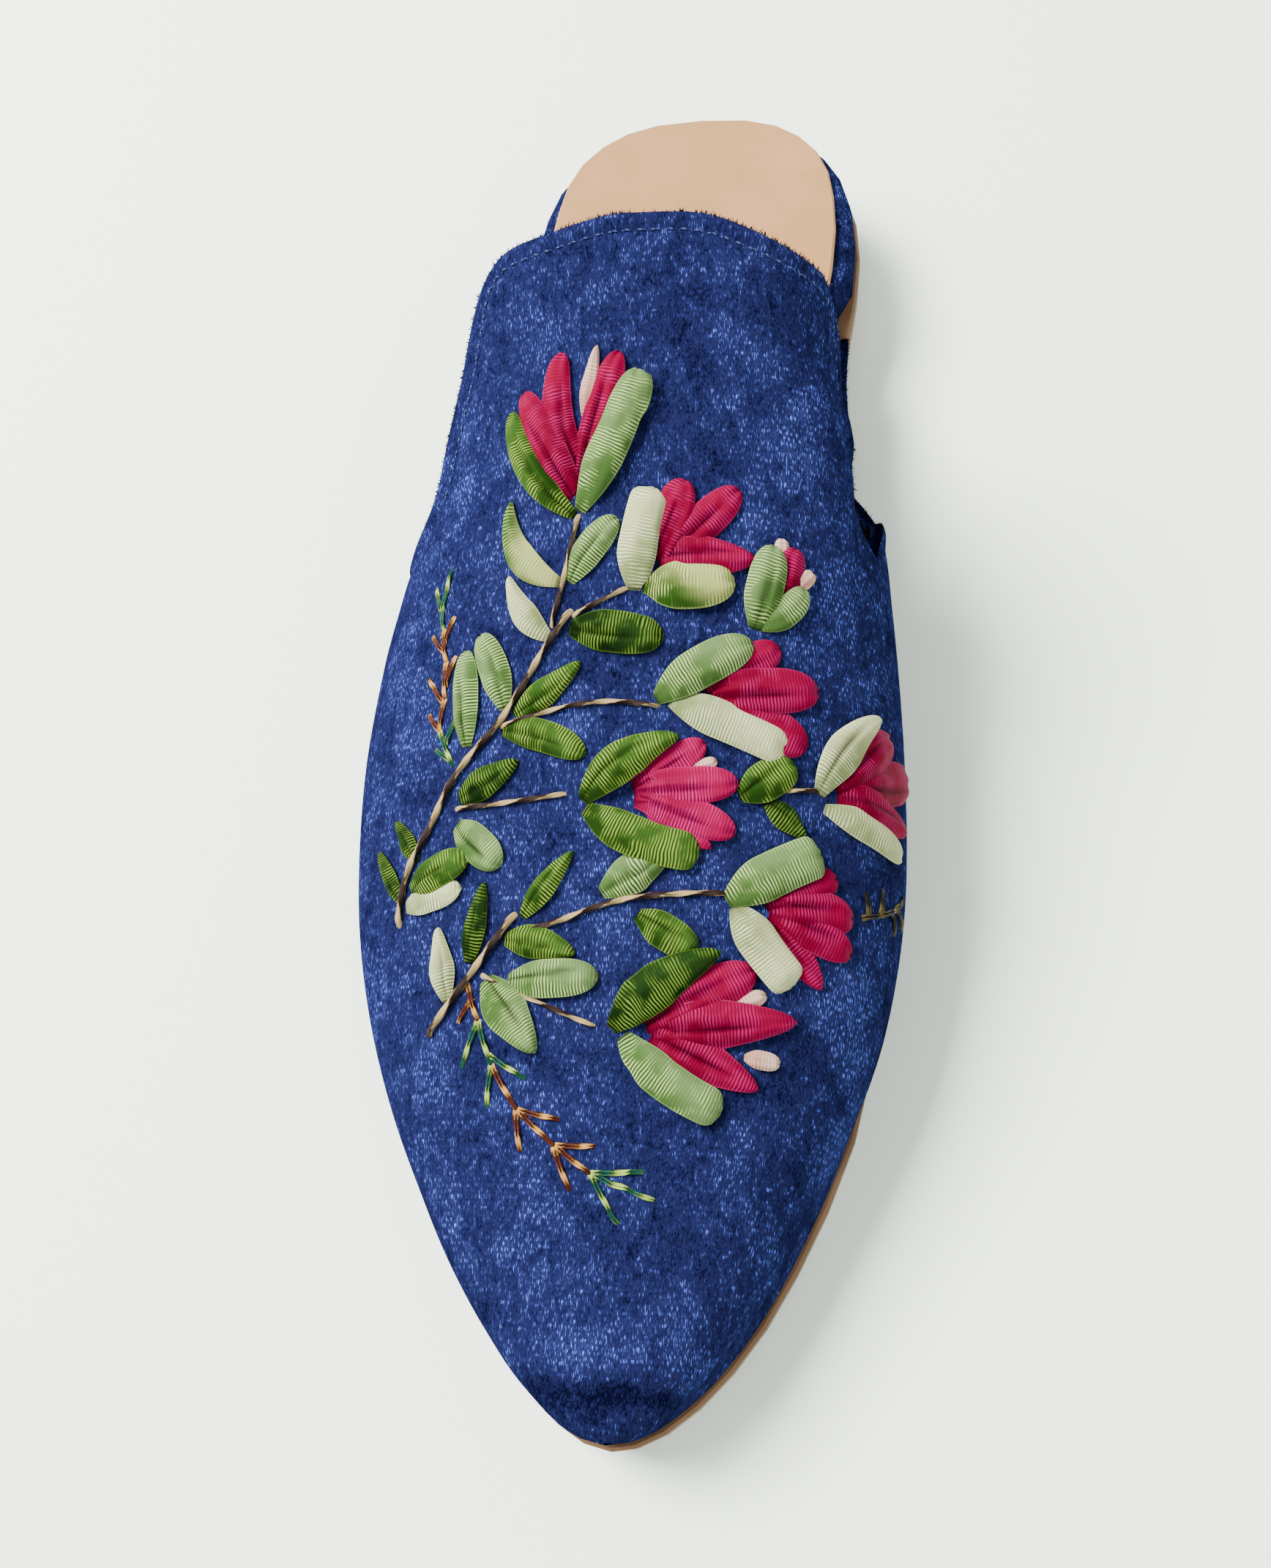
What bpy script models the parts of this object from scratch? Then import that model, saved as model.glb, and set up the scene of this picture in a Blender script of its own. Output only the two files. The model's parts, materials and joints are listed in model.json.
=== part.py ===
"""Embroidered velvet mule, right foot, built from the pieces that a shoemaker would put together.

The frame is in metres. The toe points to -Y and the heel to +Y, the inner (medial) side of the foot
is +X, and the floor is Z = 0. Sizes and tables are in millimetres, scaled by MM where a mesh is made.
"""

import math

import bmesh
import bpy
import numpy as np
from mathutils import Vector
from mathutils.geometry import delaunay_2d_cdt

MM = 0.001

# Driving sizes of the shoe.
LENGTH = 259.6
TOE_Y = -LENGTH / 2
HEEL_Y = LENGTH / 2
PIECE_GAP = 0.3

# Sole and heel.
OUTSOLE_THICKNESS = 3.5
EDGE_ROUND = 0.5
TREAD_START_Y = -80.0
TREAD_END_Y = -34.0
SEAT_START_Y = 67.0
TOE_SPRING = 7.5
SEAT_HEIGHT = 12.6
HEEL_BREAST_Y = 69.0
HEEL_BREAST_HOLLOW = 6.0
HEEL_TAPER = 1.5
HEEL_INSET = 0.3
TOP_PIECE_THICKNESS = 2.6

# Insole board wrapped in velvet, and the leather sock on it.
BOARD_FRONT_INSET = 4.6
BOARD_REAR_INSET = 0.9
BOARD_WIDENING = 6.0
BOARD_FRONT_THICKNESS = 2.6
BOARD_REAR_THICKNESS = 6.4
PADDING_START_Y = -20.0
PADDING_END_Y = 65.0
SOCK_THICKNESS = 1.6
SOCK_FRONT_INSET = 4.6
SOCK_REAR_INSET = 2.2
SOCK_WIDENING_START_Y = 100.0
SOCK_WIDENING_END_Y = 130.0
SOCK_EDGE = 0.4
WING_END_Y = 73.0

# Section of the insole board's side from the bottom up. Columns: inset, share of the thickness.
BOARD_SIDE = (
    (0.00, 0.00),
    (0.00, 0.45),
    (0.35, 0.75),
    (1.30, 0.93),
    (2.70, 1.00),
)

# Upper.
UPPER_WALL = 2.0
FEATHER_INSET = 1.0
TOE_ROUND = 13.0
TUCK_START_LAP = 0.5
HEM_RISE = 0.45
HEM_WIDTH = 4.6
HEM_STEP = 0.7
FIELD_CLEARANCE = 2.6

# Outsole seen from above: x and y that its edge passes through, from the toe tip along the inner
# side to the back of the heel, and on along the outer side.
OUTSOLE_EDGE = (
    (4.5, TOE_Y),
    (21.3, -118.0),
    (32.6, -98.0),
    (39.0, -81.0),
    (42.5, -63.0),
    (43.6, -38.0),
    (41.0, -9.0),
    (36.0, 21.0),
    (32.4, 51.0),
    (34.6, 77.0),
    (35.9, 95.0),
    (30.8, 116.3),
    (18.0, 127.4),
    (2.2, HEEL_Y),
    (-13.6, 127.4),
    (-26.4, 116.3),
    (-31.6, 95.0),
    (-33.2, 73.0),
    (-37.4, 43.0),
    (-41.8, 7.0),
    (-43.6, -31.0),
    (-41.0, -60.0),
    (-35.2, -81.0),
    (-27.6, -98.0),
    (-13.4, -118.0),
)

# How far the upper's widest line stands past the outsole's edge. Columns: y, outer side, inner side.
BULGES = (
    (TOE_Y, -0.8, -0.8),
    (-115.0, -0.6, -1.8),
    (-98.0, -0.4, -1.8),
    (-82.0, 0.8, -0.5),
    (-65.0, 2.1, 1.7),
    (-45.0, 3.5, 3.1),
    (-25.0, 4.3, 3.8),
    (-7.0, 3.3, 4.6),
    (4.0, 1.7, 5.1),
    (12.0, 0.4, 5.6),
    (18.0, -0.1, 5.7),
    (23.0, 0.0, 4.9),
    (27.0, 0.1, 3.6),
    (32.0, 0.2, 2.0),
    (42.0, 0.5, 2.8),
    (52.0, 0.7, 2.4),
    (62.0, 0.7, 1.4),
    (74.0, 0.6, 0.6),
)

# Columns: y, height of the widest line above the outsole, height of the ridge above the floor, x of
# the ridge, and how square the section is over the outer and over the inner side (2 is an ellipse).
UPPER_SECTIONS = (
    (-130.0, 5.0, 23.0, 4.5, 2.7, 2.7),
    (-115.0, 6.0, 25.0, 5.0, 2.7, 2.8),
    (-98.0, 8.0, 28.5, 5.4, 2.6, 2.8),
    (-65.0, 11.0, 36.0, 5.8, 2.4, 2.7),
    (-33.0, 13.0, 45.0, 5.8, 2.2, 2.6),
    (0.0, 15.5, 56.0, 5.2, 2.1, 2.8),
    (18.0, 16.5, 62.5, 4.6, 2.1, 3.3),
    (26.0, 15.0, 65.6, 4.4, 2.2, 3.8),
    (35.0, 12.0, 69.0, 4.0, 2.3, 4.2),
    (50.0, 8.0, 75.2, 3.2, 2.4, 4.5),
    (74.0, 5.0, 82.0, 3.0, 2.4, 4.5),
)

# How far the inner side is tucked in above the wing, where the tongue's edge falls inside it.
# Columns: y, depth.
TUCKS = (
    (2.0, 0.0),
    (6.0, 0.9),
    (10.0, 2.6),
    (15.0, 3.8),
    (20.0, 3.7),
    (25.0, 1.6),
    (30.0, 0.3),
    (34.0, 0.0),
)

# Topline from the outer side's end, over the tongue, to the inner side's end. Columns: lap, y.
# Lap 0 is the ridge, 1 the widest line and 2 the feather line where the upper meets the sole; laps
# of the outer side are negative.
TOPLINE = (
    (-2.00, 73.0),
    (-1.60, 72.0),
    (-1.36, 67.0),
    (-1.22, 58.0),
    (-1.15, 48.0),
    (-1.10, 37.0),
    (-1.05, 27.0),
    (-0.97, 18.5),
    (-0.86, 13.6),
    (-0.75, 12.8),
    (-0.66, 15.5),
    (-0.615, 21.0),
    (-0.57, 28.0),
    (-0.53, 35.0),
    (-0.495, 42.5),
    (-0.45, 47.6),
    (-0.39, 49.8),
    (-0.28, 50.0),
    (-0.15, 50.0),
    (0.00, 50.9),
    (0.12, 48.9),
    (0.30, 46.6),
    (0.50, 46.2),
    (0.62, 46.0),
    (0.70, 43.0),
    (0.75, 37.0),
    (0.78, 31.0),
    (0.79, 25.0),
    (0.785, 19.5),
    (0.765, 14.5),
    (0.745, 10.6),
    (0.75, 8.2),
    (0.80, 7.6),
    (0.86, 10.0),
    (0.92, 14.2),
    (0.98, 19.8),
    (1.04, 26.0),
    (1.09, 32.0),
    (1.13, 39.0),
    (1.17, 47.0),
    (1.24, 58.0),
    (1.38, 67.0),
    (1.60, 72.0),
    (2.00, 73.0),
)

# Petals of each blossom. Columns: girth and y of the base, girth and y of the tip, width. Girth is the
# length over the velvet from the ridge, negative on the outer side.
PETALS = {
    "blossom_tall": (
        (-10.4, 13.0, -13.2, 31.0, 4.6),
        (-10.1, 11.5, -3.8, 30.2, 4.8),
        (-11.0, 8.5, -20.2, 26.0, 4.8),
    ),
    "blossom_upper": (
        (3.4, -1.5, 15.2, 9.0, 5.2),
        (1.6, -1.6, 6.8, 10.4, 5.6),
        (2.2, -1.4, 17.8, -1.4, 6.0),
    ),
    "blossom_bud": (
        (21.9, -6.4, 24.0, 1.2, 3.8),
        (22.4, -5.4, 26.9, -1.9, 2.4),
    ),
    "blossom_middle": (
        (9.5, -20.8, 21.5, -14.0, 5.0),
        (11.0, -22.8, 25.8, -28.3, 5.2),
        (10.4, -21.8, 27.6, -19.6, 6.2),
    ),
    "blossom_left": (
        (-1.0, -36.0, 10.1, -28.8, 4.4),
        (1.0, -37.6, 11.6, -44.4, 4.4),
        (-1.0, -36.2, 15.3, -34.6, 5.2),
        (-0.4, -36.8, 15.1, -42.0, 5.0),
    ),
    "blossom_inner": (
        (32.5, -33.4, 50.5, -26.0, 6.0),
        (30.4, -33.2, 43.2, -22.0, 5.4),
        (31.0, -34.4, 46.6, -35.8, 5.8),
    ),
    "blossom_right": (
        (19.6, -51.6, 31.2, -46.6, 4.8),
        (20.6, -54.0, 29.0, -63.2, 5.2),
        (20.4, -52.4, 33.9, -52.0, 5.8),
        (20.6, -53.2, 33.6, -57.4, 5.2),
    ),
    "blossom_low": (
        (2.2, -70.8, 18.7, -61.6, 6.2),
        (3.4, -71.8, 19.9, -78.8, 6.2),
        (3.2, -71.2, 25.2, -68.4, 6.6),
    ),
}

# Sepals and leaves. Columns: name, girth and y of the base, girth and y of the tip, width, bow as a
# share of the length, and layer: 0 lies on the velvet, 1 and 2 over other ribbons.
GREEN_RIBBONS = (
    ("blossom_tall_sepal_outer", -11.0, 5.6, -22.3, 23.6, 4.6, 0.10, 1),
    ("blossom_middle_sepal_inner", 2.0, -22.6, 17.2, -13.8, 6.2, 0.03, 2),
    ("blossom_left_sepal_front", -8.6, -38.6, 9.8, -45.2, 6.4, -0.07, 1),
    ("blossom_left_sepal_back", -9.0, -37.8, 6.2, -28.0, 6.4, 0.08, 2),
    ("blossom_low_sepal_back", -2.7, -71.6, 13.6, -59.4, 7.0, 0.06, 2),
    ("leaf_04", -12.2, -11.4, 3.3, -13.2, 6.4, 0.0, 0),
    ("leaf_07", -21.2, -24.2, -9.9, -16.6, 4.5, -0.04, 0),
    ("leaf_08", -23.2, -26.4, -8.8, -30.8, 4.9, 0.06, 0),
    ("leaf_09", -30.4, -36.4, -19.8, -31.2, 5.2, -0.03, 0),
    ("leaf_11", 15.6, -36.6, 24.0, -30.8, 5.9, 0.0, 0),
    ("leaf_12", 19.6, -36.8, 26.0, -41.5, 4.0, 0.0, 1),
    ("leaf_13", -37.4, -45.6, -42.6, -38.2, 3.1, 0.0, 0),
    ("leaf_14", -40.2, -51.8, -46.4, -42.4, 3.0, 0.0, 0),
    ("leaf_16", -38.2, -50.4, -27.4, -45.8, 5.4, 0.05, 1),
    ("leaf_17", -17.9, -55.2, -10.0, -45.2, 3.9, 0.0, 0),
    ("leaf_19", 0.2, -54.4, 10.0, -59.6, 5.4, 0.0, 0),
    ("leaf_20", -26.4, -62.0, -24.3, -49.6, 4.0, 0.0, 0),
    ("leaf_22", -20.8, -58.4, -8.8, -60.6, 5.1, 0.05, 0),
)
PALE_RIBBONS = (
    ("blossom_tall_sepal_inner", -10.6, 6.2, -0.6, 27.2, 6.2, -0.04, 2),
    ("blossom_bud_sepal_inner", 18.2, -11.2, 25.3, -4.6, 4.2, -0.10, 1),
    ("blossom_bud_sepal_outer", 17.5, -11.7, 20.5, 1.0, 5.8, 0.0, 2),
    ("blossom_right_sepal_back", 14.0, -52.0, 28.2, -43.6, 7.0, 0.02, 2),
    ("blossom_low_sepal_front", -0.9, -72.2, 14.6, -82.4, 6.4, -0.07, 1),
    ("leaf_02", -12.1, -4.6, -4.1, 5.0, 5.0, 0.04, 0),
    ("leaf_05", -22.6, -23.4, -27.7, -11.0, 5.2, -0.05, 0),
    ("leaf_06", -29.3, -28.6, -30.2, -13.0, 4.9, 0.0, 0),
    ("leaf_10", -30.4, -40.2, -21.8, -47.2, 5.6, 0.0, 0),
    ("leaf_18", -5.4, -51.6, 6.2, -44.2, 6.0, 0.0, 0),
    ("leaf_23", -19.7, -64.6, -5.0, -63.8, 5.8, 0.0, 1),
    ("leaf_24", -23.4, -64.0, -14.2, -75.2, 7.0, 0.0, 0),
)
CREAM_RIBBONS = (
    ("blossom_upper_sepal_outer", -1.4, -6.2, 1.6, 9.2, 6.4, 0.04, 1),
    ("blossom_upper_sepal_inner", -0.2, -5.2, 14.4, -4.8, 7.2, -0.04, 2),
    ("blossom_middle_sepal_outer", 4.2, -22.4, 22.6, -29.2, 6.2, 0.0, 1),
    ("blossom_inner_sepal_front", 28.8, -36.6, 44.8, -40.2, 4.8, 0.0, 1),
    ("blossom_inner_sepal_back", 28.0, -34.9, 38.8, -20.6, 5.6, 0.08, 2),
    ("blossom_right_sepal_front", 15.4, -52.4, 24.4, -63.4, 6.6, -0.03, 1),
    ("leaf_01", -13.4, -4.4, -22.4, 9.6, 4.9, 0.20, 0),
    ("leaf_03", -14.9, -12.9, -22.5, -2.4, 4.3, 0.10, 0),
    ("leaf_15", -39.6, -52.4, -28.6, -50.2, 4.7, 0.0, 0),
    ("leaf_21", -29.8, -67.6, -32.2, -56.0, 4.4, 0.0, 0),
)

# Ribbon sizes: lifts, layer, edge and rise are heights, and the others are shares of a ribbon's width
# or length.
RIBBON_LIFT = 0.3
PETAL_LIFT = 0.5
RIBBON_LAYER = 1.15
RIBBON_EDGE = 0.3
RIBBON_RISE = 0.7
RIBBON_NECK = 0.35
RIBBON_TIP = 0.25
RIBBON_OPENING = 0.42
RIBBON_CLOSING = 0.4

# A fan of petals: its least radius, how far its rays are read, and the margin beside its outer petals.
FAN_RADIUS = 1.2
FAN_REACH = np.arange(0.8, 28.0, 0.2)
FAN_MARGIN = 0.2

# How finely the forms are divided.
OUTLINE_SAMPLES = 720
TOPLINE_SAMPLES = 88
LAP_SPACING = 46.0
UPPER_STATIONS = 20
ROWS_ABOVE_WIDEST = 12
ROWS_BELOW_WIDEST = 4
RIBBON_STEPS = 6
RIBBON_ROWS = 3
PETAL_STEPS = 16
PETAL_RAYS = 18
PETAL_SIDE_RAYS = np.array([0.95, 0.5])
PETAL_RINGS = (0.3, 0.56, 0.8, 1.0)

# Finishes: name, colour, roughness, metallic.
VELVET = ("velvet", (0.030, 0.060, 0.260, 1.0), 0.80, 0.0)
NUDE_LEATHER = ("nude_leather", (0.720, 0.510, 0.390, 1.0), 0.45, 0.0)
TAN_LEATHER = ("tan_leather", (0.420, 0.240, 0.130, 1.0), 0.50, 0.0)
HEEL_LEATHER = ("heel_leather", (0.560, 0.400, 0.300, 1.0), 0.55, 0.0)
TOP_PIECE_RUBBER = ("top_piece_rubber", (0.160, 0.150, 0.120, 1.0), 0.70, 0.0)
CRIMSON_RIBBON = ("crimson_ribbon", (0.560, 0.015, 0.070, 1.0), 0.45, 0.0)
GREEN_RIBBON = ("green_ribbon", (0.110, 0.240, 0.030, 1.0), 0.45, 0.0)
PALE_RIBBON = ("pale_ribbon", (0.290, 0.410, 0.170, 1.0), 0.45, 0.0)
CREAM_RIBBON = ("cream_ribbon", (0.680, 0.670, 0.480, 1.0), 0.45, 0.0)


def clear_scene():
    """Removes every object that the scene starts with."""
    for obj in list(bpy.data.objects):
        bpy.data.objects.remove(obj)


def material(finish):
    """A plain Principled material from (name, colour, roughness, metallic)."""
    name, colour, roughness, metallic = finish
    made = bpy.data.materials.get(name)
    if made is None:
        made = bpy.data.materials.new(name)
        made.use_nodes = True
        shader = made.node_tree.nodes["Principled BSDF"]
        shader.inputs["Base Color"].default_value = colour
        shader.inputs["Roughness"].default_value = roughness
        shader.inputs["Metallic"].default_value = metallic
    return made


def add_solid(name, points, faces, finish, sharp_angle=40):
    """One named object from points in millimetres and faces given by point numbers."""
    build = bmesh.new()
    corners = [build.verts.new([float(c) * MM for c in point]) for point in points]
    for face in faces:
        build.faces.new([corners[i] for i in face])
    bmesh.ops.remove_doubles(build, verts=build.verts, dist=0.00001)
    bmesh.ops.dissolve_degenerate(build, edges=build.edges, dist=0.00001)
    bmesh.ops.recalc_face_normals(build, faces=build.faces)
    if build.calc_volume(signed=True) < 0:
        bmesh.ops.reverse_faces(build, faces=build.faces)
    mesh = bpy.data.meshes.new(name)
    build.to_mesh(mesh)
    build.free()
    mesh.materials.append(material(finish))
    mesh.shade_smooth()
    mesh.set_sharp_from_angle(angle=math.radians(sharp_angle))
    obj = bpy.data.objects.new(name, mesh)
    bpy.context.scene.collection.objects.link(obj)
    return obj


def ease(share):
    """0 to 1 with level ends."""
    share = np.clip(share, 0.0, 1.0)
    return share * share * (3 - 2 * share)


def smooth_curve(points, count, closed):
    """A smooth curve through points, closed or open: a cubic spline on chord length."""
    knots = np.array(points if not closed else [*points, points[0]], float)
    step = np.linalg.norm(np.diff(knots, axis=0), axis=1)
    slope = np.diff(knots, axis=0) / step[:, None]
    last = len(step)
    bend = np.eye(last + 1)
    load = np.zeros((last + 1, 2))
    for i in range(0 if closed else 1, last):
        bend[i, i] = 2 * (step[i - 1] + step[i])
        bend[i, (i - 1) % last if closed else i - 1] += step[i - 1]
        bend[i, i + 1] += step[i]
        load[i] = 6 * (slope[i] - slope[i - 1])
    if closed:
        bend[last, 0] = -1.0
    second = np.linalg.solve(bend, load)
    start = np.concatenate([[0], np.cumsum(step)])
    travelled = np.linspace(0, start[-1], count, endpoint=not closed)
    span = np.clip(np.searchsorted(start, travelled, side="right") - 1, 0, last - 1)
    width = step[span][:, None]
    along = (travelled - start[span])[:, None]
    left = width - along
    return (
        (second[span] * left**3 + second[span + 1] * along**3) / (6 * width)
        + (knots[span] / width - second[span] * width / 6) * left
        + (knots[span + 1] / width - second[span + 1] * width / 6) * along
    )


def read_table(rows, column):
    """A function that reads one column of a table at any place, smoothly and without overshoot."""
    places = np.array([row[0] for row in rows], float)
    values = np.array([row[column] for row in rows], float)
    slopes = np.diff(values) / np.diff(places)
    tangents = np.zeros(len(values))
    tangents[0], tangents[-1] = slopes[0], slopes[-1]
    for i in range(1, len(values) - 1):
        if slopes[i - 1] * slopes[i] > 0:
            tangents[i] = 2 * slopes[i - 1] * slopes[i] / (slopes[i - 1] + slopes[i])

    def read(place):
        """The column's value at place, held at the table's ends."""
        place = np.clip(np.asarray(place, float), places[0], places[-1])
        span = np.clip(np.searchsorted(places, place, side="right") - 1, 0, len(slopes) - 1)
        width = places[span + 1] - places[span]
        share = (place - places[span]) / width
        rise = ease(share)
        return (
            (1 - rise) * values[span]
            + rise * values[span + 1]
            + (share**3 - 2 * share**2 + share) * width * tangents[span]
            + (share**3 - share**2) * width * tangents[span + 1]
        )

    return read


class Outline:
    """The outsole's edge with its outward direction, read by y on the inner (1) or outer (-1) side."""

    def __init__(self, points):
        loop = smooth_curve(points, OUTLINE_SAMPLES, closed=True)
        loop = np.roll(loop, -int(np.argmin(loop[:, 1])), axis=0)
        ahead = np.roll(loop, -1, axis=0) - np.roll(loop, 1, axis=0)
        ahead /= np.linalg.norm(ahead, axis=1)[:, None]
        rows = np.column_stack([loop, ahead[:, 1], -ahead[:, 0]])
        back = int(np.argmax(loop[:, 1]))
        self.tip_x = loop[0, 0]
        self.halves = {1: rows[: back + 1], -1: np.vstack([rows[:1], rows[:back:-1], rows[back]])}

    def edge(self, side, y, inset=0.0):
        """x and y of the edge of one side at y, moved inside by inset."""
        rows = self.halves[side]
        numbers = np.arange(len(rows))
        place = np.interp(y, rows[:, 1], numbers)
        at_x, at_y, out_x, out_y = (np.interp(place, numbers, column) for column in rows.T)
        return at_x - out_x * inset, at_y - out_y * inset

    def ring(self, inset, places):
        """A loop inset inside the edge: the inner side from toe to heel, then the outer side back."""
        inner = np.column_stack(self.edge(1, places, inset(places)))
        back = places[-2:0:-1]
        outer = np.column_stack(self.edge(-1, back, inset(back)))
        return np.vstack([inner, outer])


EDGE = Outline(OUTSOLE_EDGE)


def side_places():
    """Places along the shoe for the sole's loops: close together at toe and heel, exact at the tread."""
    toe = TOE_Y + (TREAD_START_Y - TOE_Y) * np.linspace(0, 1, 9)[:-1] ** 2
    tread = np.linspace(TREAD_START_Y, TREAD_END_Y, 4)[:-1]
    shank = np.linspace(TREAD_END_Y, SEAT_START_Y, 9)[:-1]
    behind_wings = WING_END_Y + 1.0
    seat = HEEL_Y - (HEEL_Y - behind_wings) * np.linspace(1, 0, 10) ** 2
    return np.concatenate([toe, tread, shank, [SEAT_START_Y], seat])


PLACES = side_places()


def underside(y):
    """Height of the outsole's underside: toe spring, flat tread, raised shank and level heel seat."""
    y = np.asarray(y, float)
    toe = np.clip((TREAD_START_Y - y) / (TREAD_START_Y - TOE_Y), 0.0, 1.0)
    shank = ease((y - TREAD_END_Y) / (SEAT_START_Y - TREAD_END_Y))
    return TOE_SPRING * toe**1.8 + SEAT_HEIGHT * shank


def outsole_top(y):
    """Height of the outsole's upper face."""
    return underside(y) + OUTSOLE_THICKNESS


def board_inset(y):
    """How far the insole board lies inside the outsole's edge: it widens behind the upper's wings."""
    behind_wings = ease((np.asarray(y, float) - WING_END_Y - 1.0) / BOARD_WIDENING)
    return BOARD_FRONT_INSET + (BOARD_REAR_INSET - BOARD_FRONT_INSET) * behind_wings


def board_thickness(y):
    """Thickness of the insole board, padded towards the heel."""
    share = ease((np.asarray(y, float) - PADDING_START_Y) / (PADDING_END_Y - PADDING_START_Y))
    return BOARD_FRONT_THICKNESS + (BOARD_REAR_THICKNESS - BOARD_FRONT_THICKNESS) * share


def board_top(y):
    """Height of the insole board's upper face."""
    return outsole_top(y) + PIECE_GAP + board_thickness(y)


def sock_inset(y):
    """How far the sock lies inside the outsole's edge: the velvet rim shows beside it."""
    widening = SOCK_WIDENING_END_Y - SOCK_WIDENING_START_Y
    share = ease((np.asarray(y, float) - SOCK_WIDENING_START_Y) / widening)
    return SOCK_FRONT_INSET + (SOCK_REAR_INSET - SOCK_FRONT_INSET) * share


def rungs(base, size):
    """Faces across a loop, each joining two points of one side to their partners on the other."""
    faces = [(base, base + 1, base + size - 1)]
    for i in range(1, size // 2 - 1):
        faces.append((base + i, base + i + 1, base + size - 1 - i, base + size - i))
    middle = base + size // 2
    faces.append((middle - 1, middle, middle + 1))
    return faces


def stack(rings, heights, caps):
    """Points and faces of a solid whose side joins rings at heights, closed by caps(base, size)."""
    points = [(x, y, z) for ring, rise in zip(rings, heights) for (x, y), z in zip(ring, rise(ring[:, 1]))]
    size = len(rings[0])
    faces = []
    for low in range(0, (len(rings) - 1) * size, size):
        for i in range(size):
            after = (i + 1) % size
            faces.append((low + i, low + after, low + size + after, low + size + i))
    for base in (0, (len(rings) - 1) * size):
        faces += caps(base, size)
    return points, faces


def flat_cap(base, size):
    """One face over a whole level loop."""
    return [tuple(range(base, base + size))]


def build_outsole():
    """Leather outsole with softened edges, toe spring, flat tread and a raised heel seat."""
    levels = (
        (EDGE_ROUND, 0.0),
        (0.0, EDGE_ROUND),
        (0.0, OUTSOLE_THICKNESS - EDGE_ROUND),
        (EDGE_ROUND, OUTSOLE_THICKNESS),
    )
    rings = [EDGE.ring(lambda y, d=inset: np.full(len(y), d), PLACES) for inset, _ in levels]
    heights = [lambda y, d=rise: underside(y) + d for _, rise in levels]
    return add_solid("outsole", *stack(rings, heights, rungs), TAN_LEATHER)


def build_board():
    """Insole board wrapped in velvet: its rounded side shows as a rim around the heel."""
    rings = [EDGE.ring(lambda y, d=inset: board_inset(y) + d, PLACES) for inset, _ in BOARD_SIDE]
    heights = [
        lambda y, part=share: outsole_top(y) + PIECE_GAP + board_thickness(y) * part
        for _, share in BOARD_SIDE
    ]
    return add_solid("insole_board", *stack(rings, heights, rungs), VELVET)


def build_sock():
    """Smooth leather sock that the foot stands on."""
    levels = (
        (SOCK_EDGE / 2, 0.0),
        (0.0, SOCK_EDGE),
        (0.0, SOCK_THICKNESS - SOCK_EDGE),
        (SOCK_EDGE, SOCK_THICKNESS),
    )
    rings = [EDGE.ring(lambda y, d=inset: sock_inset(y) + d, PLACES) for inset, _ in levels]
    heights = [lambda y, d=rise: board_top(y) + PIECE_GAP + d for _, rise in levels]
    return add_solid("insole_sock", *stack(rings, heights, rungs), NUDE_LEATHER)


def heel_ring(inset):
    """Loop round the heel, closed in front by a breast that curves backwards."""
    places = HEEL_Y - (HEEL_Y - HEEL_BREAST_Y) * np.linspace(1, 0, 12) ** 2
    inner = np.column_stack(EDGE.edge(1, places, inset))
    outer = np.column_stack(EDGE.edge(-1, places[-2::-1], inset))
    share = np.linspace(0, 1, 9)[1:-1, None]
    breast = outer[-1] + (inner[0] - outer[-1]) * share
    breast[:, 1] += (HEEL_BREAST_HOLLOW * 4 * share * (1 - share))[:, 0]
    return np.vstack([inner, outer, breast])


def build_heel():
    """Low heel block of leather and the thin piece that it walks on."""
    block_bottom = TOP_PIECE_THICKNESS + PIECE_GAP
    block_top = SEAT_HEIGHT - PIECE_GAP
    for name, finish, low, high in (
        ("heel_top_piece", TOP_PIECE_RUBBER, 0.0, TOP_PIECE_THICKNESS),
        ("heel_block", HEEL_LEATHER, block_bottom, block_top),
    ):
        rings = [heel_ring(HEEL_INSET + HEEL_TAPER * (1 - z / SEAT_HEIGHT)) for z in (low, high)]
        heights = [lambda y, z=level: np.full(len(y), z) for level in (low, high)]
        add_solid(name, *stack(rings, heights, flat_cap), finish)


BULGE = {-1: read_table(BULGES, 1), 1: read_table(BULGES, 2)}
WIDEST_RISE = read_table(UPPER_SECTIONS, 1)
RIDGE_HEIGHT = read_table(UPPER_SECTIONS, 2)
RIDGE_X = read_table(UPPER_SECTIONS, 3)
SQUARENESS = {-1: read_table(UPPER_SECTIONS, 4), 1: read_table(UPPER_SECTIONS, 5)}
TUCK_DEPTH = read_table(TUCKS, 1)


def tuck(side, lap, y):
    """How far a side is tucked in between the tongue's middle and the widest line."""
    share = np.clip((lap - TUCK_START_LAP) / (1 - TUCK_START_LAP), 0, 1)
    return (side == 1) * TUCK_DEPTH(y) * np.sin(np.pi * share) ** 2


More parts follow.
